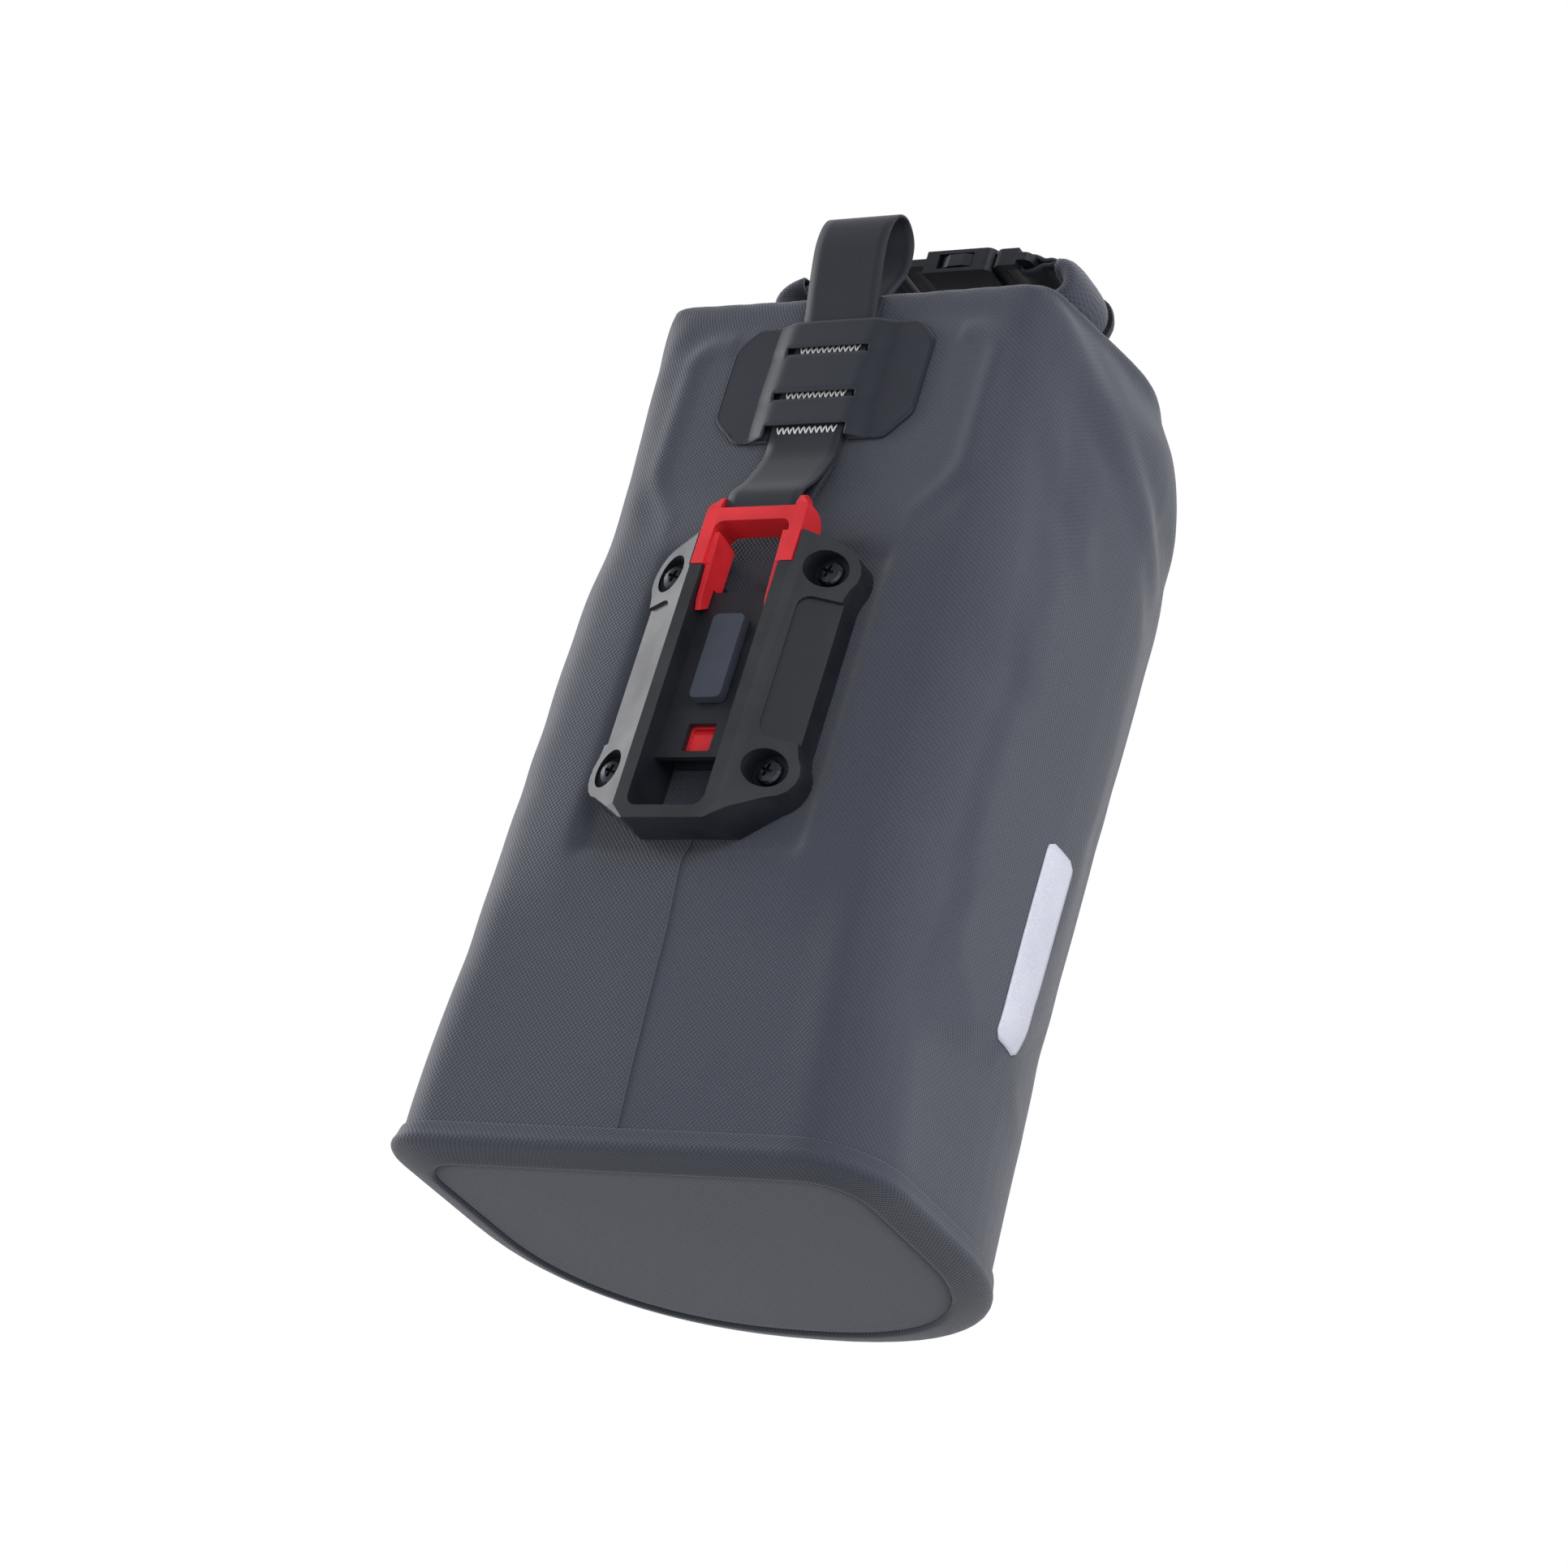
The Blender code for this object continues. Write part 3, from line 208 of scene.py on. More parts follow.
def smooth_path(points, count, closed=False):
    """A smooth curve through the points, evenly resampled."""
    knots = [Vector(point) for point in points]
    total = len(knots)
    dense = []
    for i in range(total if closed else total - 1):
        if closed:
            a, b, c, d = (knots[(i + k) % total] for k in (-1, 0, 1, 2))
        else:
            a, b, c, d = (knots[min(max(i + k, 0), total - 1)] for k in (-1, 0, 1, 2))
        for step in range(8):
            t = step / 8
            bend = (2 * a - 5 * b + 4 * c - d) * t * t
            turn = (3 * b - a - 3 * c + d) * t**3
            dense.append(0.5 * ((2 * b) + (c - a) * t + bend + turn))
    if not closed:
        dense.append(knots[-1])
    return resample(dense, count, closed)


def tube(name, points, radius, closed=False):
    """A thread or piping of round section along a path."""
    curve = bpy.data.curves.new(name, "CURVE")
    curve.dimensions = "3D"
    curve.bevel_depth = radius
    curve.bevel_resolution = 1
    curve.use_fill_caps = True
    spline = curve.splines.new("POLY")
    spline.points.add(len(points) - 1)
    for slot, point in zip(spline.points, points):
        slot.co = (*point, 1.0)
    spline.use_cyclic_u = closed
    obj = bpy.data.objects.new(name, curve)
    bpy.context.scene.collection.objects.link(obj)
    graph = bpy.context.evaluated_depsgraph_get()
    mesh = bpy.data.meshes.new_from_object(obj.evaluated_get(graph))
    bpy.data.objects.remove(obj)
    result = bpy.data.objects.new(name, mesh)
    bpy.context.scene.collection.objects.link(result)
    for polygon in mesh.polygons:
        polygon.use_smooth = True
    return result


def join(name, pieces):
    """One object from several."""
    bm = bmesh.new()
    for piece in pieces:
        bm.from_mesh(piece.data)
    mesh = bpy.data.meshes.new(name)
    bm.to_mesh(mesh)
    bm.free()
    obj = bpy.data.objects.new(name, mesh)
    bpy.context.scene.collection.objects.link(obj)
    for piece in pieces:
        bpy.data.objects.remove(piece)
    return obj


def finish(obj, look, body, slot, *nodes):
    """Gives a piece its material and its body, and hides the CAD nodes that it stands for."""
    obj.data.materials.clear()
    obj.data.materials.append(look)
    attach(obj, body)
    if nodes:
        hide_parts(*nodes)
    return obj


# ---------------------------------------------------------------- materials


class Nodes:
    """Adds and links the nodes of one material."""

    def __init__(self, name):
        self.material = bpy.data.materials.new(name)
        self.material.use_nodes = True
        self.tree = self.material.node_tree
        self.shader = self.tree.nodes["Principled BSDF"]

    def add(self, kind, inputs=(), **settings):
        node = self.tree.nodes.new(kind)
        for name, value in settings.items():
            setattr(node, name, value)
        for name, value in dict(inputs).items():
            self.feed(node.inputs[name], value)
        return node

    def feed(self, socket, value):
        if isinstance(value, bpy.types.NodeSocket):
            self.tree.links.new(value, socket)
        else:
            socket.default_value = value

    def math(self, operation, first, second=0.0):
        return self.add("ShaderNodeMath", {0: first, 1: second}, operation=operation).outputs[0]

    def place(self):
        return self.add("ShaderNodeTexCoord").outputs["Object"]

    def noise(self, scale, detail, roughness):
        inputs = {"Scale": scale, "Detail": detail, "Roughness": roughness, "Vector": self.place()}
        return self.add("ShaderNodeTexNoise", inputs).outputs["Fac"]

    def ramp(self, value, low, high, to_low=0.0, to_high=1.0):
        inputs = {"Value": value, "From Min": low, "From Max": high, "To Min": to_low, "To Max": to_high}
        return self.add("ShaderNodeMapRange", inputs).outputs["Result"]

    def mix(self, share, first, second):
        node = self.add("ShaderNodeMix", data_type="RGBA")
        for socket, value in ((0, share), (6, first), (7, second)):
            self.feed(node.inputs[socket], value)
        return node.outputs[2]

    def bump(self, height, distance, strength):
        inputs = {"Height": height, "Distance": distance, "Strength": strength}
        return self.add("ShaderNodeBump", inputs).outputs["Normal"]

    def set(self, **inputs):
        for name, value in inputs.items():
            self.feed(self.shader.inputs[name.replace("_", " ")], value)
        return self.material


def colour(red, green, blue):
    """A colour from its 0 to 255 screen values."""
    return tuple((value / 255) ** 2.2 for value in (red, green, blue)) + (1.0,)


def weave_height(nodes, pitch):
    """A plain weave laid along the fabric's own two directions: crossing yarns that pass over and under."""
    place = nodes.add("ShaderNodeUVMap", uv_map="fabric").outputs["UV"]
    split = nodes.add("ShaderNodeSeparateXYZ", {"Vector": place})
    turn = math.pi / pitch
    warp = nodes.math("SINE", nodes.math("MULTIPLY", split.outputs["X"], turn))
    weft = nodes.math("SINE", nodes.math("MULTIPLY", split.outputs["Y"], turn))
    crossing = nodes.math("MULTIPLY", warp, weft)
    return nodes.math("MULTIPLY_ADD", crossing, 0.5)


def fabric_material(name, base, pitch=0.00078):
    """Coated polyester: a fine woven face under a matt film with painted shade and highlight in its weave, a
    little lighter in patches.
    """
    nodes = Nodes(name)
    weave = weave_height(nodes, pitch)
    slow = nodes.noise(14.0, 4.0, 0.55)
    fibre = nodes.noise(1400.0, 2.0, 0.7)
    # The darker tone is the painted shade in the weave's gaps and also the tone of the random dark fibre
    # speckles.
    gap_shade_and_speckle = tuple(c * 0.62 for c in base[:3]) + (1.0,)
    light = tuple(min(c * 1.48, 1.0) for c in base[:3]) + (1.0,)
    # Painted shade and highlight: the weave's colour is darker in the low gaps between the yarns and lighter
    # on the raised yarn tops.
    weave_shade_and_highlight = nodes.mix(nodes.ramp(weave, -0.5, 0.5), gap_shade_and_speckle, light)
    mottled = nodes.mix(nodes.ramp(slow, 0.3, 0.7, 0.0, 0.22), weave_shade_and_highlight, light)
    speckled = nodes.mix(nodes.ramp(fibre, 0.35, 0.75, 0.0, 0.30), mottled, gap_shade_and_speckle)
    height = nodes.math("ADD", weave, nodes.math("MULTIPLY", fibre, 0.35))
    normal = nodes.bump(height, 0.00018, 0.9)
    rough = nodes.ramp(slow, 0.3, 0.7, 0.66, 0.76)
    return nodes.set(
        Base_Color=speckled, Roughness=rough, Normal=normal,
        Sheen_Weight=0.25, Sheen_Roughness=0.45, Specular_IOR_Level=0.35,
    )


def webbing_material(name, base):
    """Smooth coated webbing with a barely visible cross rib."""
    nodes = Nodes(name)
    rib = weave_height(nodes, 0.00045)
    grain = nodes.noise(900.0, 3.0, 0.7)
    slow = nodes.noise(30.0, 3.0, 0.6)
    light = tuple(min(c * 1.35, 1.0) for c in base[:3]) + (1.0,)
    shade = nodes.mix(nodes.ramp(slow, 0.35, 0.7, 0.0, 0.35), base, light)
    shade = nodes.mix(nodes.ramp(grain, 0.5, 0.8, 0.0, 0.25), shade, light)
    height = nodes.math("ADD", nodes.math("MULTIPLY", rib, 0.4), grain)
    return nodes.set(
        Base_Color=shade, Roughness=nodes.ramp(slow, 0.3, 0.7, 0.50, 0.62),
        Normal=nodes.bump(height, 0.00006, 0.6), Sheen_Weight=0.10, Specular_IOR_Level=0.3,
    )


def plastic_material(name, base, grain_scale=1500.0, roughness=0.48):
    """Moulded nylon: spark-eroded grain, and edges painted a little paler, partly as rubbed wear and partly
    as a painted highlight.
    """
    nodes = Nodes(name)
    fine = nodes.noise(grain_scale, 4.0, 0.75)
    slow = nodes.noise(45.0, 4.0, 0.6)
    edge = nodes.ramp(nodes.add("ShaderNodeNewGeometry").outputs["Pointiness"], 0.505, 0.56)
    # Convex edges painted paler: partly rubbed wear, partly a painted highlight along the edges.
    edge_highlight_and_wear = nodes.math("MULTIPLY", edge, nodes.ramp(slow, 0.35, 0.65, 0.25, 0.9))
    light = tuple(min(c * 1.5 + 0.012, 1.0) for c in base[:3]) + (1.0,)
    shade = nodes.mix(nodes.ramp(slow, 0.3, 0.75, 0.0, 0.25), base, light)
    shade = nodes.mix(nodes.ramp(fine, 0.5, 0.8, 0.0, 0.25), shade, light)
    shade = nodes.mix(edge_highlight_and_wear, shade, light)
    rough = nodes.ramp(slow, 0.3, 0.7, roughness - 0.05, roughness + 0.06)
    normal = nodes.bump(fine, 0.00005, 0.7)
    return nodes.set(Base_Color=shade, Roughness=rough, Normal=normal, Specular_IOR_Level=0.4)


def rubber_material(name, base):
    nodes = Nodes(name)
    fine = nodes.noise(1900.0, 3.0, 0.8)
    slow = nodes.noise(60.0, 3.0, 0.6)
    light = tuple(c * 1.4 for c in base[:3]) + (1.0,)
    shade = nodes.mix(nodes.ramp(slow, 0.3, 0.7, 0.0, 0.5), base, light)
    return nodes.set(Base_Color=shade, Roughness=nodes.ramp(fine, 0.3, 0.7, 0.62, 0.8),
                     Normal=nodes.bump(fine, 0.00006, 0.7), Specular_IOR_Level=0.3)


def steel_material(name, base, roughness):
    nodes = Nodes(name)
    fine = nodes.noise(700.0, 5.0, 0.7)
    light = tuple(min(c * 1.8, 1.0) for c in base[:3]) + (1.0,)
    shade = nodes.mix(nodes.ramp(fine, 0.4, 0.75, 0.0, 0.5), base, light)
    rough = nodes.ramp(fine, 0.3, 0.7, roughness - 0.08, roughness + 0.1)
    return nodes.set(Base_Color=shade, Roughness=rough, Metallic=1.0, Normal=nodes.bump(fine, 0.00003, 0.5))


def film_material(name):
    """Reflective film: pale grey with the sparkle of fine glass beads and a faint honeycomb."""
    nodes = Nodes(name)
    beads = nodes.add("ShaderNodeTexVoronoi", {"Vector": nodes.place(), "Scale": 1500.0}).outputs["Distance"]
    slow = nodes.noise(50.0, 3.0, 0.6)
    shade = nodes.mix(nodes.ramp(beads, 0.0, 0.7), colour(203, 206, 220), colour(184, 186, 201))
    shade = nodes.mix(nodes.ramp(slow, 0.35, 0.7, 0.0, 0.35), shade, colour(212, 214, 226))
    return nodes.set(Base_Color=shade, Roughness=nodes.ramp(beads, 0.0, 0.7, 0.35, 0.6),
                     Normal=nodes.bump(beads, 0.00004, 0.5), Metallic=0.15)


def thread_material(name):
    nodes = Nodes(name)
    twist = nodes.noise(3500.0, 2.0, 0.6)
    shade = nodes.mix(nodes.ramp(twist, 0.35, 0.7), colour(200, 200, 202), colour(244, 244, 242))
    normal = nodes.bump(twist, 0.00005, 0.8)
    return nodes.set(Base_Color=shade, Roughness=0.6, Normal=normal, Sheen_Weight=0.3)


SLATE = colour(54, 57, 67)
CHARCOAL = colour(33, 36, 45)
BLACK_PLASTIC = colour(18, 21, 29)

looks = {
    "fabric": fabric_material("coated_fabric", SLATE),
    "base": fabric_material("base_fabric", colour(62, 66, 77), 0.00062),
    "hem": fabric_material("hem_fabric", colour(51, 54, 64), 0.00070),
    "edge": fabric_material("cut_edge", colour(104, 107, 114), 0.00050),
    "webbing": webbing_material("smooth_webbing", CHARCOAL),
    "patch": webbing_material("patch_film", colour(35, 38, 48)),
    "black_plastic": plastic_material("black_nylon", BLACK_PLASTIC),
    "red_plastic": plastic_material("red_nylon", colour(188, 34, 42), 1300.0, 0.42),
    "rubber": rubber_material("soft_rubber", colour(56, 60, 70)),
    "black_steel": steel_material("blackened_steel", colour(58, 60, 66), 0.38),
    "spring_steel": steel_material("spring_steel", colour(170, 172, 176), 0.28),
    "film": film_material("reflective_film"),
    "thread": thread_material("white_thread"),
    "sheet": plastic_material("stiff_sheet", colour(60, 62, 66), 900.0, 0.6),
}

for node_name, look in {
    "bracket_housing": "black_plastic", "latch_cover": "black_plastic",
    "release_slider": "red_plastic", "lock_catch": "red_plastic",
    "channel_pad": "rubber",
    "buckle_socket": "black_plastic", "buckle_plug": "black_plastic",
    "buckle_prong_front": "black_plastic", "buckle_prong_rear": "black_plastic",
    "return_spring": "spring_steel", "backing_plate": "sheet", "mouth_stiffener": "sheet",
}.items():
    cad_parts[node_name].data.materials[0] = looks[look]
for number in (1, 2, 3, 4):
    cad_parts[f"mounting_screw_{number}"].data.materials[0] = looks["black_steel"]
    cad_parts[f"screw_insert_{number}"].data.materials[0] = looks["black_steel"]
    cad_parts[f"sealing_washer_{number}"].data.materials[0] = looks["rubber"]


# ---------------------------------------------------------------- the bag's body


def plan_outline(half_width, front, rear, corner):
    """The bag's plan: a flat front with round corners, the right one rounder, and a round back."""
    side_y = front + SIDE_SHARE * (rear - front)
    flat = half_width - corner
    left_corner = min(corner, CORNER)
    left_flat = half_width - left_corner
    points = [(0.0, front), (flat / 2, front)]
    points += arc((flat, front + corner), corner, 270, 360, 8)
    for i in range(33):
        turn = math.pi * i / 32
        x = half_width * math.copysign(abs(math.cos(turn)) ** 0.86, math.cos(turn))
        points.append((x, side_y + (rear - side_y) * math.sin(turn) ** 0.9))
    points += arc((-left_flat, front + left_corner), left_corner, 180, 270, 8)
    points += [(-flat / 2, front)]
    return points


def body_sizes(height):
    """Half width, front, rear and corner radius of the upright part of the bag."""
    lean = max(0.0, 1.0 - height / 0.095) ** 1.5
    return HALF_WIDTH + 0.003 * lean, FRONT_Y + 0.008 * lean, REAR_Y, CORNER + 0.008 * lean


def front_narrowing(height):
    """How much narrower the front is than the sides' widest line, as a share of the width."""
    return 0.062 * smooth_step(height, 0.0, 0.085) + 0.062 * smooth_step(height, 0.165, 0.230)


def sway(height):
    """How far the top of the front, with the patch and the strap, has slumped to the left."""
    return -0.0033 * smooth_step(height, 0.196, 0.245)


COLUMNS = 208
ROWS = 104

# Half width, front, rear, corner radius, and the height at the front and at the rear.
TOP_RINGS = (
    (0.0785, FRONT_Y, 0.0590, CORNER, 0.246, 0.226),
    (0.0790, FRONT_Y, 0.0500, 0.014, 0.271, 0.247),
    (0.0755, -0.0710, 0.0335, 0.007, 0.2800, 0.2680),
    (0.0745, -0.0685, 0.0120, 0.004, 0.2822, 0.2800),
    (0.0560, ROLL_Y - 0.0135, ROLL_Y + 0.0135, 0.006, 0.2838, 0.2838),
)


def body_ring(half_width, front, rear, corner, z_front, z_rear):
    outline, around = resample(plan_outline(half_width, front, rear, corner), COLUMNS, closed=True)
    ring = []
    for point in outline:
        share = (point.y - front) / (rear - front)
        z = z_front + (z_rear - z_front) * share
        near_front = max(1.0 - (point.y - front) / 0.060, 0.0) ** 1.3
        x = point.x * (1.0 - front_narrowing(z) * near_front)
        ring.append(Vector((x + sway(z) * near_front, point.y, z)))
    return ring, around


def body_rings():
    """Rings from the base to the mouth, with rows about every 3 mm."""
    knots = []
    for height in (0.0027, 0.0075, 0.015, 0.025, 0.035, 0.060, 0.095, 0.120, 0.150, 0.180, 0.205):
        knots.append(body_ring(*body_sizes(height), height, height)[0])
    for ring in TOP_RINGS:
        knots.append(body_ring(*ring)[0])
    columns = [smooth_path([ring[i] for ring in knots], ROWS)[0] for i in range(COLUMNS)]
    return [[column[row] for column in columns] for row in range(ROWS)]


def build_bag_body():
    rings = body_rings()
    points, uvs = [], []
    around = body_ring(*body_sizes(0.15), 0.15, 0.15)[1]
    climbed = 0.0
    for row, ring in enumerate(rings):
        if row:
            climbed += (ring[COLUMNS // 4] - rings[row - 1][COLUMNS // 4]).length
        for column, point in enumerate(ring):
            points.append(point)
            share = column / COLUMNS
            side = share if share < 0.5 else 1.0 - share
            uvs.append((side * around, climbed))
    return add_mesh("bag_body", points, grid_faces(len(rings), COLUMNS, True), uvs)


def edge_distance(x, z):
    """Distance of a point of the front from the edge of the plate inside it, below zero within the plate."""
    half = 0.040 + (0.053 - 0.040) * smooth_step(z, 0.196, 0.222)
    low, high = PLATE_LOW.z + 0.002, PLATE_HIGH.z - 0.001
    radius = 0.008
    dx = abs(x) - (half - radius)
    dz = abs(z - (low + high) / 2) - ((high - low) / 2 - radius)
    outside = math.hypot(max(dx, 0.0), max(dz, 0.0))
    return outside + min(max(dx, dz), 0.0) - radius


def crease(point, start, end, width):
    """A hump's height at a point near the line from start to end, fading at both of its ends."""
    start, end = Vector(start), Vector(end)
    along = end - start
    share = (point - start).dot(along) / along.length_squared
    if not 0.0 < share < 1.0:
        return 0.0
    distance = (point - start - along * share).length
    return bump_at(distance, width) * math.sin(math.pi * share) ** 0.7


CREASE_GAIN = 0.55
# Where each crease starts and ends, its reach to each side and its height, below zero for a hollow.
CREASES = (
    ((0.0600, -0.071, 0.268), (0.0770, -0.030, 0.196), 0.0075, 0.0020),
    ((0.0660, -0.068, 0.276), (0.0785, 0.010, 0.216), 0.0080, 0.0026),
    ((0.0640, -0.066, 0.278), (0.0780, -0.046, 0.150), 0.0060, -0.0012),
    ((0.0680, -0.050, 0.276), (0.0740, 0.030, 0.238), 0.0070, 0.0022),
    ((0.0740, -0.060, 0.110), (0.0735, -0.052, 0.020), 0.0080, -0.0012),
    ((0.0560, -0.0695, 0.095), (0.0600, -0.0600, 0.012), 0.0090, 0.0012),
    ((-0.0600, -0.071, 0.268), (-0.0770, -0.030, 0.196), 0.0075, 0.0020),
    ((-0.0660, -0.068, 0.276), (-0.0785, 0.010, 0.216), 0.0080, 0.0024),
    ((-0.0680, -0.050, 0.276), (-0.0740, 0.030, 0.238), 0.0070, 0.0020),
    ((-0.0740, -0.060, 0.110), (-0.0735, -0.052, 0.020), 0.0080, -0.0012),
    ((-0.030, 0.050, 0.246), (-0.040, 0.0600, 0.170), 0.0090, -0.0016),
    ((0.022, 0.053, 0.244), (0.034, 0.0615, 0.160), 0.0090, -0.0018),
    ((-0.004, 0.056, 0.238), (-0.002, 0.0615, 0.120), 0.0080, 0.0010),
    ((0.060, 0.036, 0.120), (0.048, 0.046, 0.020), 0.0100, -0.0014),
    ((-0.060, 0.036, 0.130), (-0.046, 0.047, 0.024), 0.0100, -0.0014),
)


def press_shapes(obj):
    """The plate's edge showing through the front, and the soft creases that run from the folded corners."""
    mesh = obj.data
    normals = [vertex.normal.copy() for vertex in mesh.vertices]
    for vertex, normal in zip(mesh.vertices, normals):
        point = vertex.co
        rise = 0.0
        if normal.y < -0.5 and point.z > 0.085:
            distance = edge_distance(point.x, point.z)
            fade = smooth_step(point.z, 0.185, 0.225) * smooth_step(0.279 - point.z, 0.0, 0.010)
            rise += 0.0010 * bump_at(distance, 0.0050) * fade
            rise -= 0.0005 * bump_at(distance - 0.0075, 0.0060) * fade
        for start, end, width, height in CREASES:
            rise += CREASE_GAIN * height * crease(point, start, end, width * 1.25)
        vertex.co = point + normal * rise


def hold_share(point):
    """How firmly the fabric is held there: hem, bracket, patch, mouth."""
    held = smooth_step(0.066 - point.z, 0.0, 0.056)
    held = max(held, smooth_step(point.z, 0.262, 0.280))
    if point.y < FRONT_Y + 0.004:
        held = max(held, smooth_step(0.064 - abs(point.x), 0.0, 0.020))
    return held


def smooth_moves(moves, rounds):
    """The body's moves averaged with their neighbours', to lose ripples finer than the fabric's own."""
    rows = len(moves) // COLUMNS
    for _ in range(rounds):
        smoothed = []
        for row in range(rows):
            above, below = max(row - 1, 0) * COLUMNS, min(row + 1, rows - 1) * COLUMNS
            here = row * COLUMNS
            for column in range(COLUMNS):
                left, right = (column - 1) % COLUMNS, (column + 1) % COLUMNS
                beside = moves[above + column] + moves[below + column]
                around = beside + moves[here + left] + moves[here + right]
                smoothed.append((moves[here + column] * 2 + around) / 6)
        moves = smoothed
    return moves


SWELL_LIMIT = 0.0035
SINK_KEPT_OUT = 0.75
CLOTH_FRAMES = 18


def relax_cloth(obj):
    """Lets the fabric swell between the places that hold it, as a filled bag does, with little sinking in."""
    rest = [vertex.co.copy() for vertex in obj.data.vertices]
    normals = [vertex.normal.copy() for vertex in obj.data.vertices]
    group = obj.vertex_groups.new(name="held")
    for vertex in obj.data.vertices:
        group.add([vertex.index], hold_share(vertex.co), "REPLACE")
    cloth = obj.modifiers.new("cloth", "CLOTH")
    settings = cloth.settings
    settings.quality = 5
    settings.mass = 0.3
    settings.tension_stiffness = 18.0
    settings.compression_stiffness = 18.0
    settings.bending_stiffness = 0.6
    settings.use_pressure = True
    settings.uniform_pressure_force = 8.0
    settings.vertex_group_mass = "held"
    settings.pin_stiffness = 1.0
    settings.shrink_min = -0.012
    settings.effector_weights.gravity = 0.0
    scene = bpy.context.scene
    for number in range(1, CLOTH_FRAMES + 1):
        scene.frame_set(number)
    apply_modifiers(obj)
    moves = smooth_moves([vertex.co - start for vertex, start in zip(obj.data.vertices, rest)], 3)
    for vertex, start, normal, move in zip(obj.data.vertices, rest, normals, moves):
        sunk = min(move.dot(normal), 0.0)
        move = move - normal * sunk * SINK_KEPT_OUT
        allowed = SWELL_LIMIT * (1.0 - hold_share(start))
        if move.length > allowed:
            move = move * (allowed / move.length)
        vertex.co = start + move
    obj.vertex_groups.clear()
    scene.frame_set(1)


def swell_round_bracket(obj):
    """The clamped fabric wells up a little round the bracket's foot."""
    half = BRACKET_HIGH.x + 0.0012
    low, high = BRACKET_LOW.z - 0.0006, BRACKET_HIGH.z + 0.0005
    for vertex in obj.data.vertices:
        point = vertex.co
        if point.y > FRONT_Y + 0.012:
            continue
        dx = abs(point.x) - half
        dz = abs(point.z - (low + high) / 2) - (high - low) / 2
        distance = math.hypot(max(dx, 0.0), max(dz, 0.0))
        if max(dx, dz) > 0.0 and distance < 0.030:
            rise = smooth_step(distance, 0.0, 0.0035) * bump_at(max(distance - 0.0035, 0.0), 0.0265)
            vertex.co.y -= 0.0022 * rise


def clear_of_hardware(obj):
    """Keeps the front fabric behind the bracket and the patch."""
    for vertex in obj.data.vertices:
        point = vertex.co
        if abs(point.x) < BRACKET_HIGH.x + 0.004 and point.y < 0.0 and point.z > BRACKET_LOW.z - 0.004:
            if point.y < FRONT_Y and point.z < PATCH_HIGH.z + 0.004:
                vertex.co.y = FRONT_Y


bag_body = build_bag_body()
outward(bag_body)
press_shapes(bag_body)
relax_cloth(bag_body)
clear_of_hardware(bag_body)
swell_round_bracket(bag_body)
subdivide(bag_body)
skin_tree = BVHTree.FromPolygons(
    [vertex.co.copy() for vertex in bag_body.data.vertices],
    [tuple(polygon.vertices) for polygon in bag_body.data.polygons],
)
thicken(bag_body, FABRIC)
finish(bag_body, looks["fabric"], "bag", "coated_fabric", "bag_shell")


def skin_from(start, direction):
    """The point and normal where a ray from outside meets the bag's fabric."""
    place, normal, _, _ = skin_tree.ray_cast(Vector(start), Vector(direction).normalized())
    if normal.dot(Vector(direction)) > 0:
        normal = -normal
    return place, normal


# ---------------------------------------------------------------- base and hem


# How far each of the hem's rings lies outside the bag's outline, and its height: down the wall, over a
# soft edge and in under the bag.
RIM_ROWS = (
    (0.0002, HEM_TOP), (0.0004, 0.0075), (0.0006, 0.0058), (0.0010, 0.0046), (0.0012, 0.0039),
    (0.0008, 0.0031), (-0.0003, 0.0025), (-0.0022, 0.0019), (-0.0045, 0.0012), (-0.0066, 0.0006),
    (-0.0078, 0.0003), (-RIM_WIDTH, 0.0004), (-RIM_WIDTH, 0.0016),
)
FOOT_HEIGHT = 0.004
RIB_COUNT = 420
SEAM_X = 0.0006


def base_outline(grow, columns=240):
    """The bag's outline at its foot, grown or shrunk, as evenly spaced points."""
    half_width, front, rear, corner = body_sizes(FOOT_HEIGHT)
    outline = plan_outline(half_width + grow, front - grow, rear + grow, max(corner + grow, 0.004))
    evenly = resample([(x, y, 0.0) for x, y in outline], columns, closed=True)[0]
    return [(point.x, point.y) for point in evenly]


def build_hem_band():
    rings = [[(x, y, z) for x, y in base_outline(grow)] for grow, z in RIM_ROWS]
    columns = len(rings[0])
    points, uvs = [], []
    down = 0.0
    for row, ring in enumerate(rings):
        if row:
            down += (Vector(ring[0]) - Vector(rings[row - 1][0])).length
        for column, (x, y, z) in enumerate(ring):
            points.append((x, y, z))
            share = column / columns
            uvs.append(((share if share < 0.5 else 1 - share) * 0.46, down))
    band = add_mesh("hem_band", points, grid_faces(len(rings), columns, True), uvs)
    thicken(band, 0.0008)
    outward(band)
    return finish(subdivide(band), looks["hem"], "bag", "welded_hem", "base_seam_band")


def build_weld_ribs():
    """Fine press marks of the welding tool across the hem's underside."""
    outer, inner = base_outline(-0.0012, RIB_COUNT), base_outline(-RIM_WIDTH + 0.0010, RIB_COUNT)
    points, faces = [], []
    for (x1, y1), (x2, y2) in zip(outer, inner):
        start, end = Vector((x1, y1, 0.00205)), Vector((x2, y2, 0.00035))
        side = Vector((end.y - start.y, start.x - end.x, 0.0)).normalized() * 0.00026
        base = len(points)
        up, down = Vector((0, 0, 0.0004)), Vector((0, 0, -0.00012))
        for place in (start - side + up, start + side + up, end + side + up, end - side + up):
            points.append(tuple(place))
        points += [tuple(start + down), tuple(end + down)]
        faces += [(base, base + 4, base + 5, base + 3), (base + 1, base + 2, base + 5, base + 4)]
        faces += [(base, base + 1, base + 4), (base + 3, base + 5, base + 2)]
        faces.append((base, base + 3, base + 2, base + 1))
    ribs = add_mesh("weld_ribs", points, faces, [(x, y) for x, y, z in points], smooth=False)
    outward(ribs)
    return finish(ribs, looks["hem"], "bag", "welded_hem")


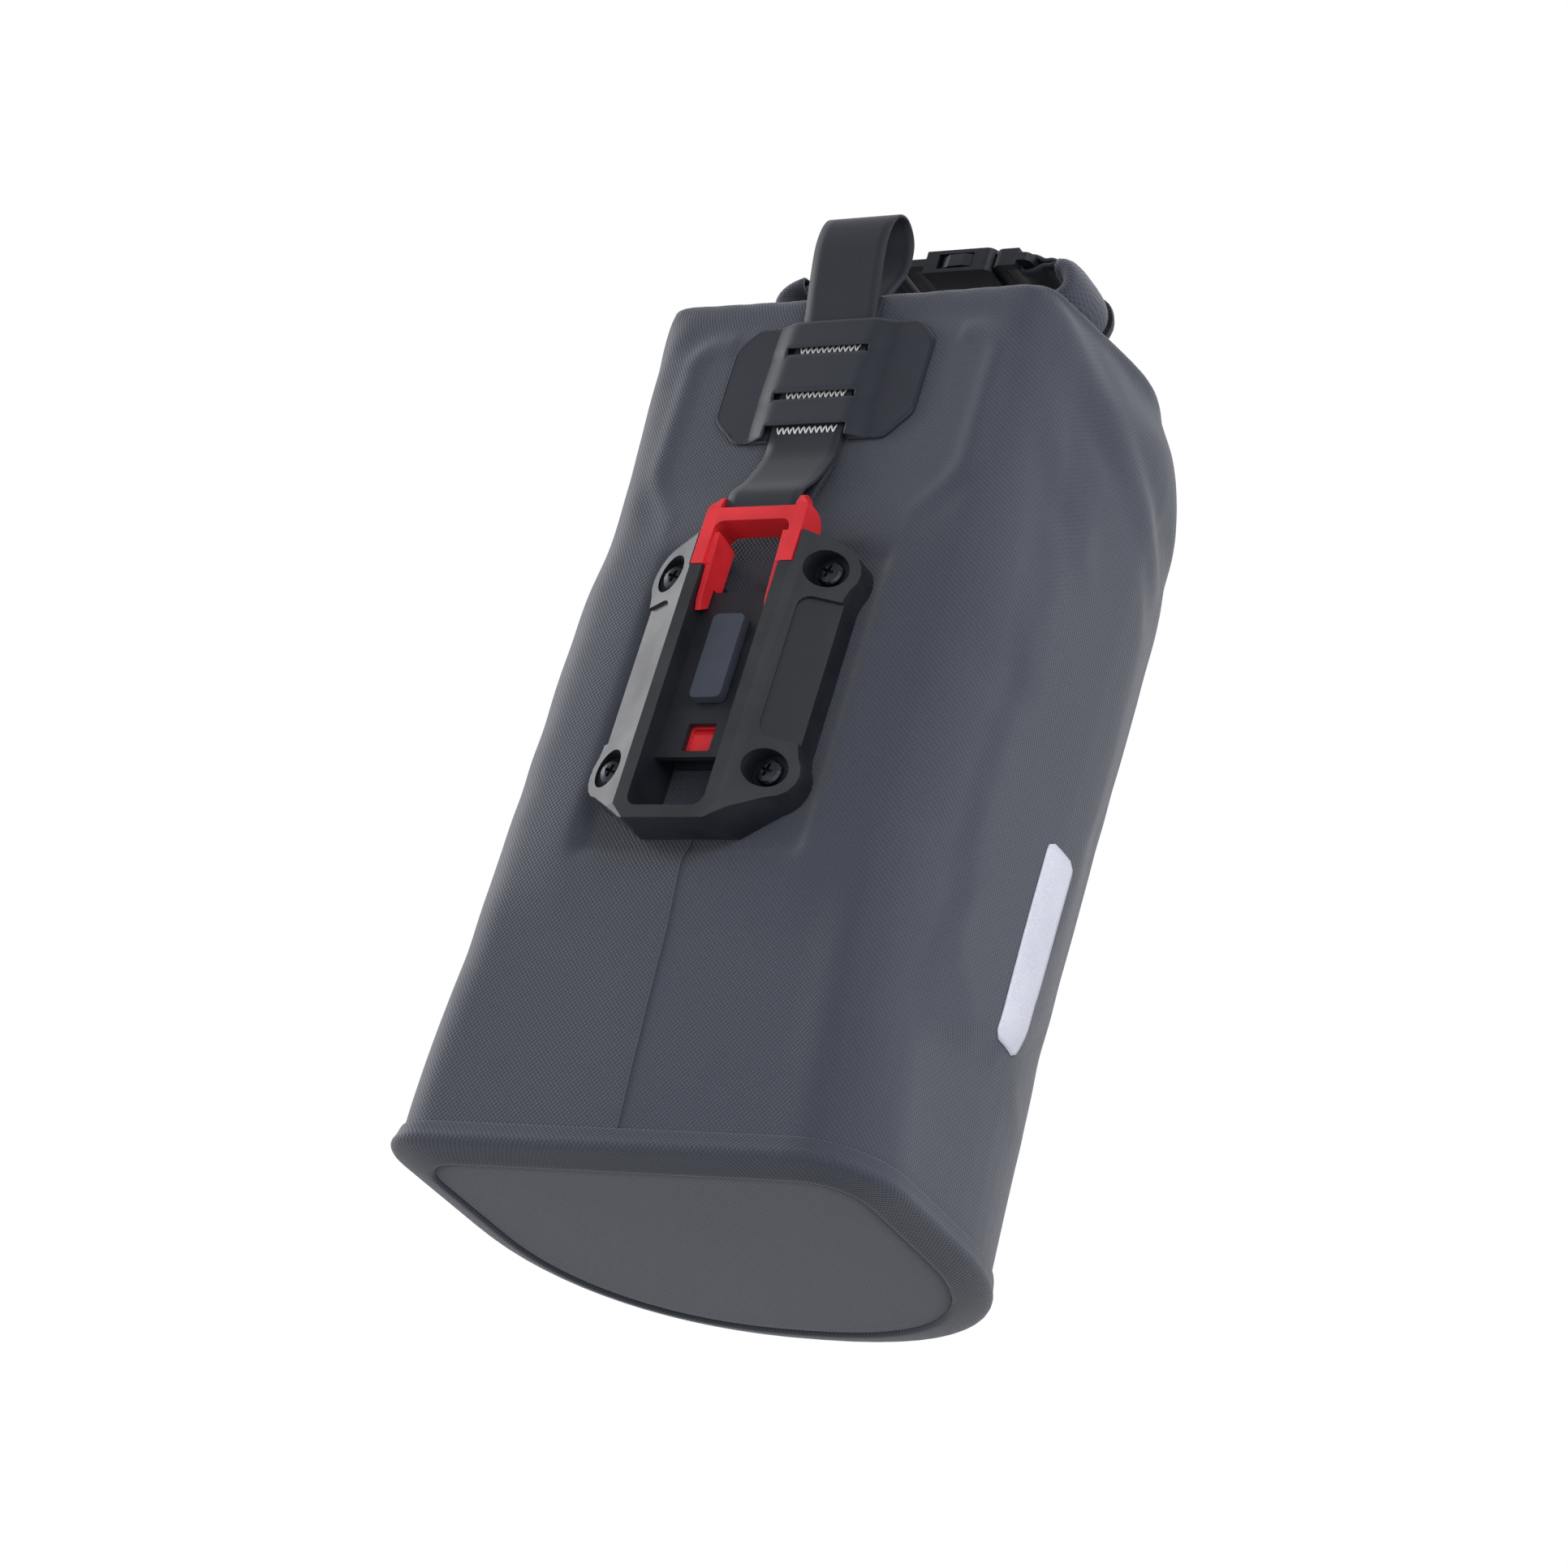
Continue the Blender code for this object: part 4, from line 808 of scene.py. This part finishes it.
def build_base_panel():
    """The bottom, set into the hem, which swells a little under the load."""
    rows, columns = 26, 240
    edge = base_outline(-RIM_WIDTH - 0.0001)
    middle = Vector((0.0, (body_sizes(FOOT_HEIGHT)[1] + REAR_Y) / 2))
    points, uvs = [], []
    for row in range(rows):
        share = row / (rows - 1)
        for x, y in edge:
            place = middle.lerp(Vector((x, y)), max(share, 0.004))
            sag = 0.0003 * (1 - share**2.2)
            roll_in = 0.0006 * smooth_step(share, 0.975, 1.0)
            points.append((place.x, place.y, 0.0003 - sag + roll_in))
            uvs.append((place.x, place.y))
    faces = grid_faces(rows, columns, True)
    faces.append(tuple(range(columns)))
    panel = add_mesh("base_panel_skin", points, faces, uvs)
    outward(panel)
    thicken(panel, 0.0010, offset=-1.0 if panel.data.polygons[0].normal.z < 0 else 1.0)
    return finish(panel, looks["base"], "bag", "coated_fabric", "base_panel")


def build_hem_thread():
    """The narrow piped line where the bottom meets the hem."""
    path = [(x, y, 0.0004) for x, y in base_outline(-RIM_WIDTH - 0.0001)]
    line = tube("base_seam_line", path, 0.00030, closed=True)
    return finish(line, looks["edge"], "bag", "welded_hem")


def build_front_seam():
    """The lapped seam down the middle of the front, from under the bracket to the hem and across it."""
    points = []
    steps = 60
    for i in range(steps):
        z = BRACKET_LOW.z + 0.003 + (HEM_TOP - BRACKET_LOW.z - 0.003) * i / (steps - 1)
        place, normal = skin_from((SEAM_X, -0.2, z), (0, 1, 0))
        points.append(place + normal * 0.00005)
    seam = tube("front_seam", points, 0.00038)
    edge_y = body_sizes(FOOT_HEIGHT)[1]
    below = [
        (SEAM_X, edge_y - 0.0003, HEM_TOP + 0.0004), (SEAM_X, edge_y - 0.0008, 0.0058),
        (SEAM_X, edge_y - 0.0013, 0.0040), (SEAM_X + 0.0003, edge_y + 0.0003, 0.0024),
        (SEAM_X + 0.0014, edge_y + 0.0045, 0.0012), (SEAM_X + 0.0024, edge_y + RIM_WIDTH - 0.0002, 0.0004),
    ]
    lap = tube("lap", smooth_path(below, 30)[0], 0.00036)
    return finish(join("front_seam", [seam, lap]), looks["hem"], "bag", "coated_fabric")


build_hem_band()
build_weld_ribs()
build_base_panel()
build_hem_thread()
build_front_seam()


# ---------------------------------------------------------------- the rolled mouth


TAB_THICKNESS = 0.0012


def roll_middle():
    """The roll's middle line in X and Z: flat over the mouth, with both ends bent up towards the buckle."""
    z = FOLD_Z + 0.0067
    halves = []
    for reach in (0.039, 0.049):
        half = [(0.0, z), (reach / 3, z), (reach * 0.6, z), (reach - 0.008, z + 0.0002)]
        halves.append(half + arc((reach, z + 0.0068), 0.0068, -65, 85, 7))
    left = [(-x, height) for x, height in reversed(halves[0][1:])]
    return smooth_path([(x, 0.0, height) for x, height in left + halves[1]], 84)[0]


def roll_outline(turns=2.35, steps=70):
    """The section of the rolled fabric in depth and height: a flattened spiral, as a strip with two sides."""
    outer, inner = [], []
    for i in range(steps + 1):
        turn = 2 * math.pi * turns * i / steps
        shrink = 1.0 - 0.24 * turn / (2 * math.pi)
        for side, points in ((0.0, outer), (0.075, inner)):
            size = shrink - side
            across = 0.0147 * size * math.copysign(abs(math.cos(turn - 0.9)) ** 0.55, math.cos(turn - 0.9))
            up = 0.0059 * size * math.copysign(abs(math.sin(turn - 0.9)) ** 0.75, math.sin(turn - 0.9))
            points.append((across, up))
    return outer + inner[::-1]


def build_rolled_mouth():
    path = roll_middle()
    outline = roll_outline()
    points, uvs = [], []
    for row, place in enumerate(path):
        before, after = path[max(row - 1, 0)], path[min(row + 1, len(path) - 1)]
        along = (after - before).normalized()
        up = Vector((-along.z, 0.0, along.x))
        share = abs(2 * row / (len(path) - 1) - 1)
        squeeze = 1.0 - 0.34 * smooth_step(share, 0.55, 1.0)
        ripple = 0.00022 * math.sin(row * 0.9) + 0.00018 * math.sin(row * 0.37 + 1.0)
        for column, (across, height) in enumerate(outline):
            points.append(place + up * (height * squeeze + ripple) + Vector((0.0, ROLL_Y + across, 0.0)))
            uvs.append((row * 0.0021, column * 0.0009))
    columns = len(outline)
    faces = grid_faces(len(path), columns, True)
    half = columns // 2
    for base in (0, (len(path) - 1) * columns):
        for i in range(half - 1):
            faces.append((base + i, base + i + 1, base + columns - 2 - i, base + columns - 1 - i))
    roll = add_mesh("rolled_mouth", points, faces, uvs)
    outward(roll)
    return finish(roll, looks["fabric"], "bag", "coated_fabric", "closure_roll")


def ribbon(name, path, width, thickness, across):
    """A band of webbing along a closed path, with rounded edges and two faces."""
    section = []
    half, rim = width / 2, thickness / 2
    columns = 9
    for i in range(columns):
        section.append((half * (2 * i / (columns - 1) - 1) * 0.985, rim))
    section.append((half, 0.0))
    for i in range(columns):
        section.append((half * (1 - 2 * i / (columns - 1)) * 0.985, -rim))
    section.append((-half, 0.0))
    points, uvs, total = [], [], len(path)
    climbed = 0.0
    for row, place in enumerate(path):
        along = (path[(row + 1) % total] - path[row - 1]).normalized()
        normal = across.cross(along).normalized()
        if row:
            climbed += (place - path[row - 1]).length
        for side, out in section:
            points.append(place + across * side + normal * out)
            uvs.append((side, climbed))
    size = len(section)
    faces = grid_faces(total, size, True)
    last = (total - 1) * size
    for column in range(size):
        after = (column + 1) % size
        faces.append((last + column, last + after, after, column))
    return outward(add_mesh(name, points, faces, uvs))


def build_closure_tab(name, node):
    """Webbing from the buckle's bar to the roll's end, turned round the bar."""
    low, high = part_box(node)
    side = math.copysign(1.0, low.x + high.x)
    near, far = (low.x, high.x) if side > 0 else (high.x, low.x)
    z = (low.z + high.z) / 2
    rise = (high.z - low.z) / 2 - 0.0006
    flat = 0.00095
    upper = (
        (near + side * 0.0014, rise * 0.85), (near + side * 0.0040, rise),
        (near + side * 0.0062, rise * 0.75), (near + side * 0.0085, flat), (far - side * 0.0025, flat),
    )
    knots = [(near + side * 0.0006, z)] + [(x, z + height) for x, height in upper]
    knots += [(far - side * 0.0006, z)] + [(x, z - height) for x, height in reversed(upper)]
    path = smooth_path([(x, ROLL_Y, height) for x, height in knots], 72, closed=True)[0]
    tab = ribbon(name, path, high.y - low.y, TAB_THICKNESS, Vector((0, 1, 0)))
    return finish(tab, looks["webbing"], "bag", "smooth_webbing", node)


build_rolled_mouth()
build_closure_tab("buckle_webbing_left", "closure_tab_left")
build_closure_tab("buckle_webbing_right", "closure_tab_right")


# ---------------------------------------------------------------- patch, strap and stitching

LOWER_CUT, UPPER_CUT, TIP_ROUND = 0.0085, 0.0065, 0.0022
WING_Y = PATCH_HIGH.y
WING_THICKNESS = 0.0011
WING_MIDDLE = (0.026, 0.2495)
# A wing's section: inset from its edge and height over the fabric, with a fine groove inside the border.
WING_ROWS = (
    (0.0, 0.0), (0.0, 0.0007), (0.0004, WING_THICKNESS), (0.0011, WING_THICKNESS + 0.0001),
    (0.0014, WING_THICKNESS - 0.0002), (0.0018, WING_THICKNESS),
)
BRIDGE_FLAT = 0.0128
BRIDGE_EDGE = BRIDGE_HALF + 0.0080
BRIDGE_COLUMNS = 24
BRIDGE_SHEET = 0.0005
SLIT = 0.0022
LIP_RISE, TUCK_RISE = 0.0031, 0.0024


def patch_outline():
    """The patch's front view: an octagon with rounded tips, its lower corners cut further."""
    half, low, high = PATCH_HIGH.x, PATCH_LOW.z, PATCH_HIGH.z
    corners = [
        (half - LOWER_CUT, low), (half, low + LOWER_CUT),
        (half, high - UPPER_CUT), (half - UPPER_CUT, high),
        (UPPER_CUT - half, high), (-half, high - UPPER_CUT),
        (-half, low + LOWER_CUT), (LOWER_CUT - half, low),
    ]
    points = []
    for index, corner in enumerate(corners):
        before, here, after = Vector(corners[index - 1]), Vector(corner), Vector(corners[(index + 1) % 8])
        start = here + (before - here).normalized() * TIP_ROUND
        end = here + (after - here).normalized() * TIP_ROUND
        for step in range(5):
            t = step / 4
            points.append(start * (1 - t) ** 2 + here * 2 * t * (1 - t) + end * t * t)
    return points


def wing_points(side):
    """Half of the octagon, cut off at the raised bridge."""
    inner = BRIDGE_HALF - 0.0004
    points = [point for point in patch_outline() if point.x * side > 0]
    points.append(Vector((side * inner, PATCH_HIGH.z)))
    points.append(Vector((side * inner, PATCH_LOW.z)))
    middle_x, middle_z = WING_MIDDLE
    points.sort(key=lambda point: math.atan2(point.y - middle_z, point.x * side - middle_x))
    return points


def build_wing(side):
    flat = [Vector((point.x, WING_Y, point.y)) for point in wing_points(side)]
    middle = sum(flat, Vector()) / len(flat)
    count = len(flat)
    rings = []
    for inset, height in WING_ROWS:
        ring = []
        for point in flat:
            inward = middle - point
            ring.append(Vector((point.x, WING_Y - height, point.z)) + inward.normalized() * inset)
        rings.append(ring)
    points = [point for ring in rings for point in ring]
    faces = grid_faces(len(rings), count, True)
    faces.append(tuple(range(count)))
    faces.append(tuple((len(rings) - 1) * count + i for i in range(count)))
    uvs = [(point.x, point.z) for point in points]
    return outward(add_mesh("wing", points, faces, uvs, smooth=False))


def bridge_rows():
    """The bridge's rows: height, rise off the wings, and whether the strip above is cut open."""
    knots = [(PATCH_LOW.z, LIP_RISE), (NOTCH_TOP, LIP_RISE)]
    for slot in SLOT_Z:
        knots += [(slot - SLIT, TUCK_RISE), (slot, LIP_RISE)]
    knots.append((PATCH_HIGH.z, TUCK_RISE))
    rows = []
    for number, ((low, start), (high, end)) in enumerate(zip(knots, knots[1:])):
        cut = number % 2 == 0
        steps = 2 if cut else 8
        for step in range(steps):
            share = step / steps
            rows.append((low + (high - low) * share, start + (end - start) * share, cut))
    rows.append((*knots[-1], False))
    return rows


def build_bridge():
    """The patch's raised middle: one sheet over the strap, with a notch and two open slits."""
    inner = [BRIDGE_HALF * (2 * i / BRIDGE_COLUMNS - 1) for i in range(BRIDGE_COLUMNS + 1)]
    slope = [BRIDGE_HALF + (BRIDGE_EDGE - BRIDGE_HALF) * i / 8 for i in range(1, 9)]
    across = [-x for x in reversed(slope)] + inner + slope
    rows = bridge_rows()
    points = []
    for z, rise, _ in rows:
        for x in across:
            plateau = smooth_step(BRIDGE_EDGE - abs(x), 0.0, BRIDGE_EDGE - BRIDGE_FLAT)
            crown = 0.00025 * (1 - (x / BRIDGE_EDGE) ** 2)
            points.append((x, WING_Y - WING_THICKNESS * 0.8 - (rise + crown) * plateau, z))
    faces = []
    for face in grid_faces(len(rows), len(across), False):
        row, column = divmod(face[0], len(across))
        if not (rows[row][2] and len(slope) <= column < len(slope) + BRIDGE_COLUMNS):
            faces.append(face)
    sheet = outward(add_mesh("bridge", points, faces, [(x, z) for x, y, z in points]))
    faces_front = sheet.data.polygons[0].normal.y < 0
    return thicken(sheet, BRIDGE_SHEET, -1.0 if faces_front else 1.0)


def build_patch():
    parts = [build_wing(side) for side in (-1, 1)] + [build_bridge()]
    patch = lean_left(join("strap_patch_skin", parts))
    return finish(patch, looks["patch"], "bag", "stiff_sheet", "strap_patch")


def strap_knots():
    """The strap's closed side view in Y and Z, from the bar up to the finger loop and back."""
    front, rear = STRAP_PLY_Y
    bar_y, bar_z, wrap = STRAP_BAR_Y, STRAP_BAR_Z, STRAP_WRAP
    return [
        (bar_y - wrap, bar_z + 0.0006), (bar_y - wrap * 0.90, bar_z + 0.0060), (-0.0808, 0.2090),
        (-0.0766, 0.2165), (-0.0738, 0.2230), (front, 0.2300), (front, 0.2400), (front, 0.2560),
        (front - 0.0002, 0.2700), (front - 0.0034, 0.2820),
        (front - 0.0062, 0.2950), (front - 0.0046, 0.3040), (front + 0.0010, 0.3066), (rear + 0.0060, 0.3020),
        (rear + 0.0066, 0.2920), (rear + 0.0008, 0.2780), (rear, 0.2700), (rear, 0.2560), (rear, 0.2370),
        (rear - 0.0002, 0.2290), (-0.0728, 0.2220), (-0.0762, 0.2130), (-0.0790, 0.2060),
        (bar_y + wrap, bar_z + 0.0030), (bar_y + wrap * 0.9, bar_z - wrap * 0.45), (bar_y, bar_z - wrap),
        (bar_y - wrap * 0.9, bar_z - wrap * 0.45),
    ]


def strap_path():
    return smooth_path([(0.0, y, z) for y, z in strap_knots()], 260, closed=True)[0]


def lean_left(obj):
    """Moves the strap or the patch with the slumped top of the front."""
    for vertex in obj.data.vertices:
        vertex.co.x += sway(vertex.co.z)
    return obj


def build_strap():
    strap = lean_left(ribbon("pull_webbing", strap_path(), STRAP_WIDTH, STRAP_THICKNESS, Vector((1, 0, 0))))
    return finish(strap, looks["webbing"], "slider", "smooth_webbing", "pull_strap")


def build_zigzag(number, z):
    """A zigzag seam across the strap, with a needle dip at each turn."""
    half, turns, swing = 0.0104, 11, 0.00105
    nearest = min(strap_path(), key=lambda place: (abs(place[2] - z) > 0.001, place[1]))
    y = nearest[1] - STRAP_THICKNESS / 2 - 0.00012
    knots = []
    for i in range(turns * 2 + 1):
        x = half * (i / turns - 1)
        height = swing * (-1) ** i
        knots += [(x - 0.0001, y + 0.0001, z + height), (x + 0.0001, y + 0.0001, z + height)]
        if i < turns * 2:
            knots.append((x + half / turns / 2, y - 0.00016, z))
    seam = lean_left(tube(f"zigzag_{number}", [Vector(knot) for knot in knots], 0.00024))
    return finish(seam, looks["thread"], "slider", "white_thread", f"strap_stitching_{number}")


build_patch()
build_strap()
for number, seam_z in enumerate((NOTCH_TOP - 0.0012, SLOT_Z[0] - 0.0004, SLOT_Z[1] - 0.0004), start=1):
    build_zigzag(number, seam_z)


# ---------------------------------------------------------------- reflective bar


def build_reflective_bar():
    """A plain bar of film with round corners, laid on the curve of the right side."""
    rows, columns = 40, 14
    points, uvs = [], []
    middle_y, half_y = (FILM_LOW.y + FILM_HIGH.y) / 2, (FILM_HIGH.y - FILM_LOW.y) / 2
    middle_z, half_z = (FILM_LOW.z + FILM_HIGH.z) / 2, (FILM_HIGH.z - FILM_LOW.z) / 2
    radius = 0.0030
    for row in range(rows):
        down = 2 * row / (rows - 1) - 1
        inset = max(abs(down) * half_z - (half_z - radius), 0.0)
        wide = half_y - radius + math.sqrt(max(radius**2 - inset**2, 0.0))
        for column in range(columns):
            across = 2 * column / (columns - 1) - 1
            start = (0.2, middle_y + across * wide, middle_z + down * half_z)
            place, normal = skin_from(start, (-1, 0, 0))
            points.append(place + normal * 0.00032)
            uvs.append((across * wide, down * half_z))
    bar = add_mesh("reflective_bar", points, grid_faces(rows, columns, False), uvs)
    outward(bar)
    if bar.data.polygons[0].normal.x < 0:
        bar.data.flip_normals()
    thicken(bar, 0.00028)
    return finish(bar, looks["film"], "bag", "reflective_film", "reflective_patch")


build_reflective_bar()


# ---------------------------------------------------------------- stage, light and camera


def build_floor():
    """A plain pale floor that is only seen from above, so that a low camera still sees the object."""
    size = 3.0
    low = cad_box[0][2] - 0.0006
    points = [(-size, -size, low), (size, -size, low), (size, size, low), (-size, size, low)]
    floor = add_mesh("floor", points, [(0, 1, 2, 3)], smooth=False)
    nodes = Nodes("pale_floor")
    nodes.set(Base_Color=(0.80, 0.80, 0.81, 1.0), Roughness=0.8)
    nodes.set(Emission_Color=(1.0, 1.0, 1.0, 1.0), Emission_Strength=0.40)
    through = nodes.add("ShaderNodeBsdfTransparent")
    side = nodes.add("ShaderNodeNewGeometry").outputs["Backfacing"]
    shown = nodes.add("ShaderNodeMixShader", {0: side, 1: nodes.shader.outputs[0], 2: through.outputs[0]})
    nodes.tree.links.new(shown.outputs[0], nodes.tree.nodes["Material Output"].inputs["Surface"])
    floor.data.materials.append(nodes.material)
    floor.visible_shadow = False
    floor.visible_diffuse = False


def add_light(name, place, aim, size, power):
    light = bpy.data.lights.new(name, "AREA")
    light.shape = "RECTANGLE"
    light.size, light.size_y = size
    light.energy = power
    obj = bpy.data.objects.new(name, light)
    obj.location = place
    obj.rotation_euler = (Vector(aim) - Vector(place)).to_track_quat("-Z", "Y").to_euler()
    bpy.context.scene.collection.objects.link(obj)


def light_scene():
    """A white surround, with the strongest soft boxes at the sides, so that the front stays darker."""
    bpy.context.scene.view_settings.view_transform = "Standard"
    world = bpy.data.worlds.new("pale_world")
    bpy.context.scene.world = world
    world.use_nodes = True
    tree = world.node_tree
    background = tree.nodes["Background"]
    background.inputs["Color"].default_value = (1.0, 1.0, 1.0, 1.0)
    seen = tree.nodes.new("ShaderNodeLightPath").outputs["Is Camera Ray"]
    strength = tree.nodes.new("ShaderNodeMapRange")
    strength.inputs["To Min"].default_value = WORLD_LIGHT
    strength.inputs["To Max"].default_value = 1.0
    tree.links.new(seen, strength.inputs["Value"])
    tree.links.new(strength.outputs["Result"], background.inputs["Strength"])
    middle = (0.0, 0.0, 0.15)
    add_light("left_softbox", (-1.4, -0.25, 0.35), middle, (0.7, 1.3), 17.0)
    add_light("right_softbox", (1.1, 0.45, 0.30), middle, (0.7, 1.3), 7.0)
    add_light("corner_softbox", (1.15, -1.15, 0.55), middle, (1.0, 0.9), 13.0)
    add_light("low_softbox", (0.2, -0.9, -0.9), middle, (1.0, 0.6), 3.0)
    add_light("top_softbox", (0.0, 0.1, 1.4), middle, (1.0, 1.0), 8.0)


def place_camera():
    azimuth, elevation = math.radians(CAMERA_AZIMUTH), math.radians(CAMERA_ELEVATION)
    level = Vector((-math.sin(azimuth), math.cos(azimuth), 0.0))
    forward = level * math.cos(elevation) + Vector((0.0, 0.0, -math.sin(elevation)))
    camera = bpy.data.cameras.new("camera")
    camera.lens = CAMERA_LENS
    camera.sensor_width = 36.0
    camera.clip_start, camera.clip_end = 0.05, 20.0
    obj = bpy.data.objects.new("camera", camera)
    bpy.context.scene.collection.objects.link(obj)
    turn = forward.to_track_quat("-Z", "Y").to_matrix() @ Matrix.Rotation(math.radians(CAMERA_ROLL), 3, "Z")
    obj.matrix_world = Matrix.Translation(CAMERA_AIM - forward * CAMERA_DISTANCE) @ turn.to_4x4()
    bpy.context.scene.camera = obj


build_floor()
light_scene()
place_camera()
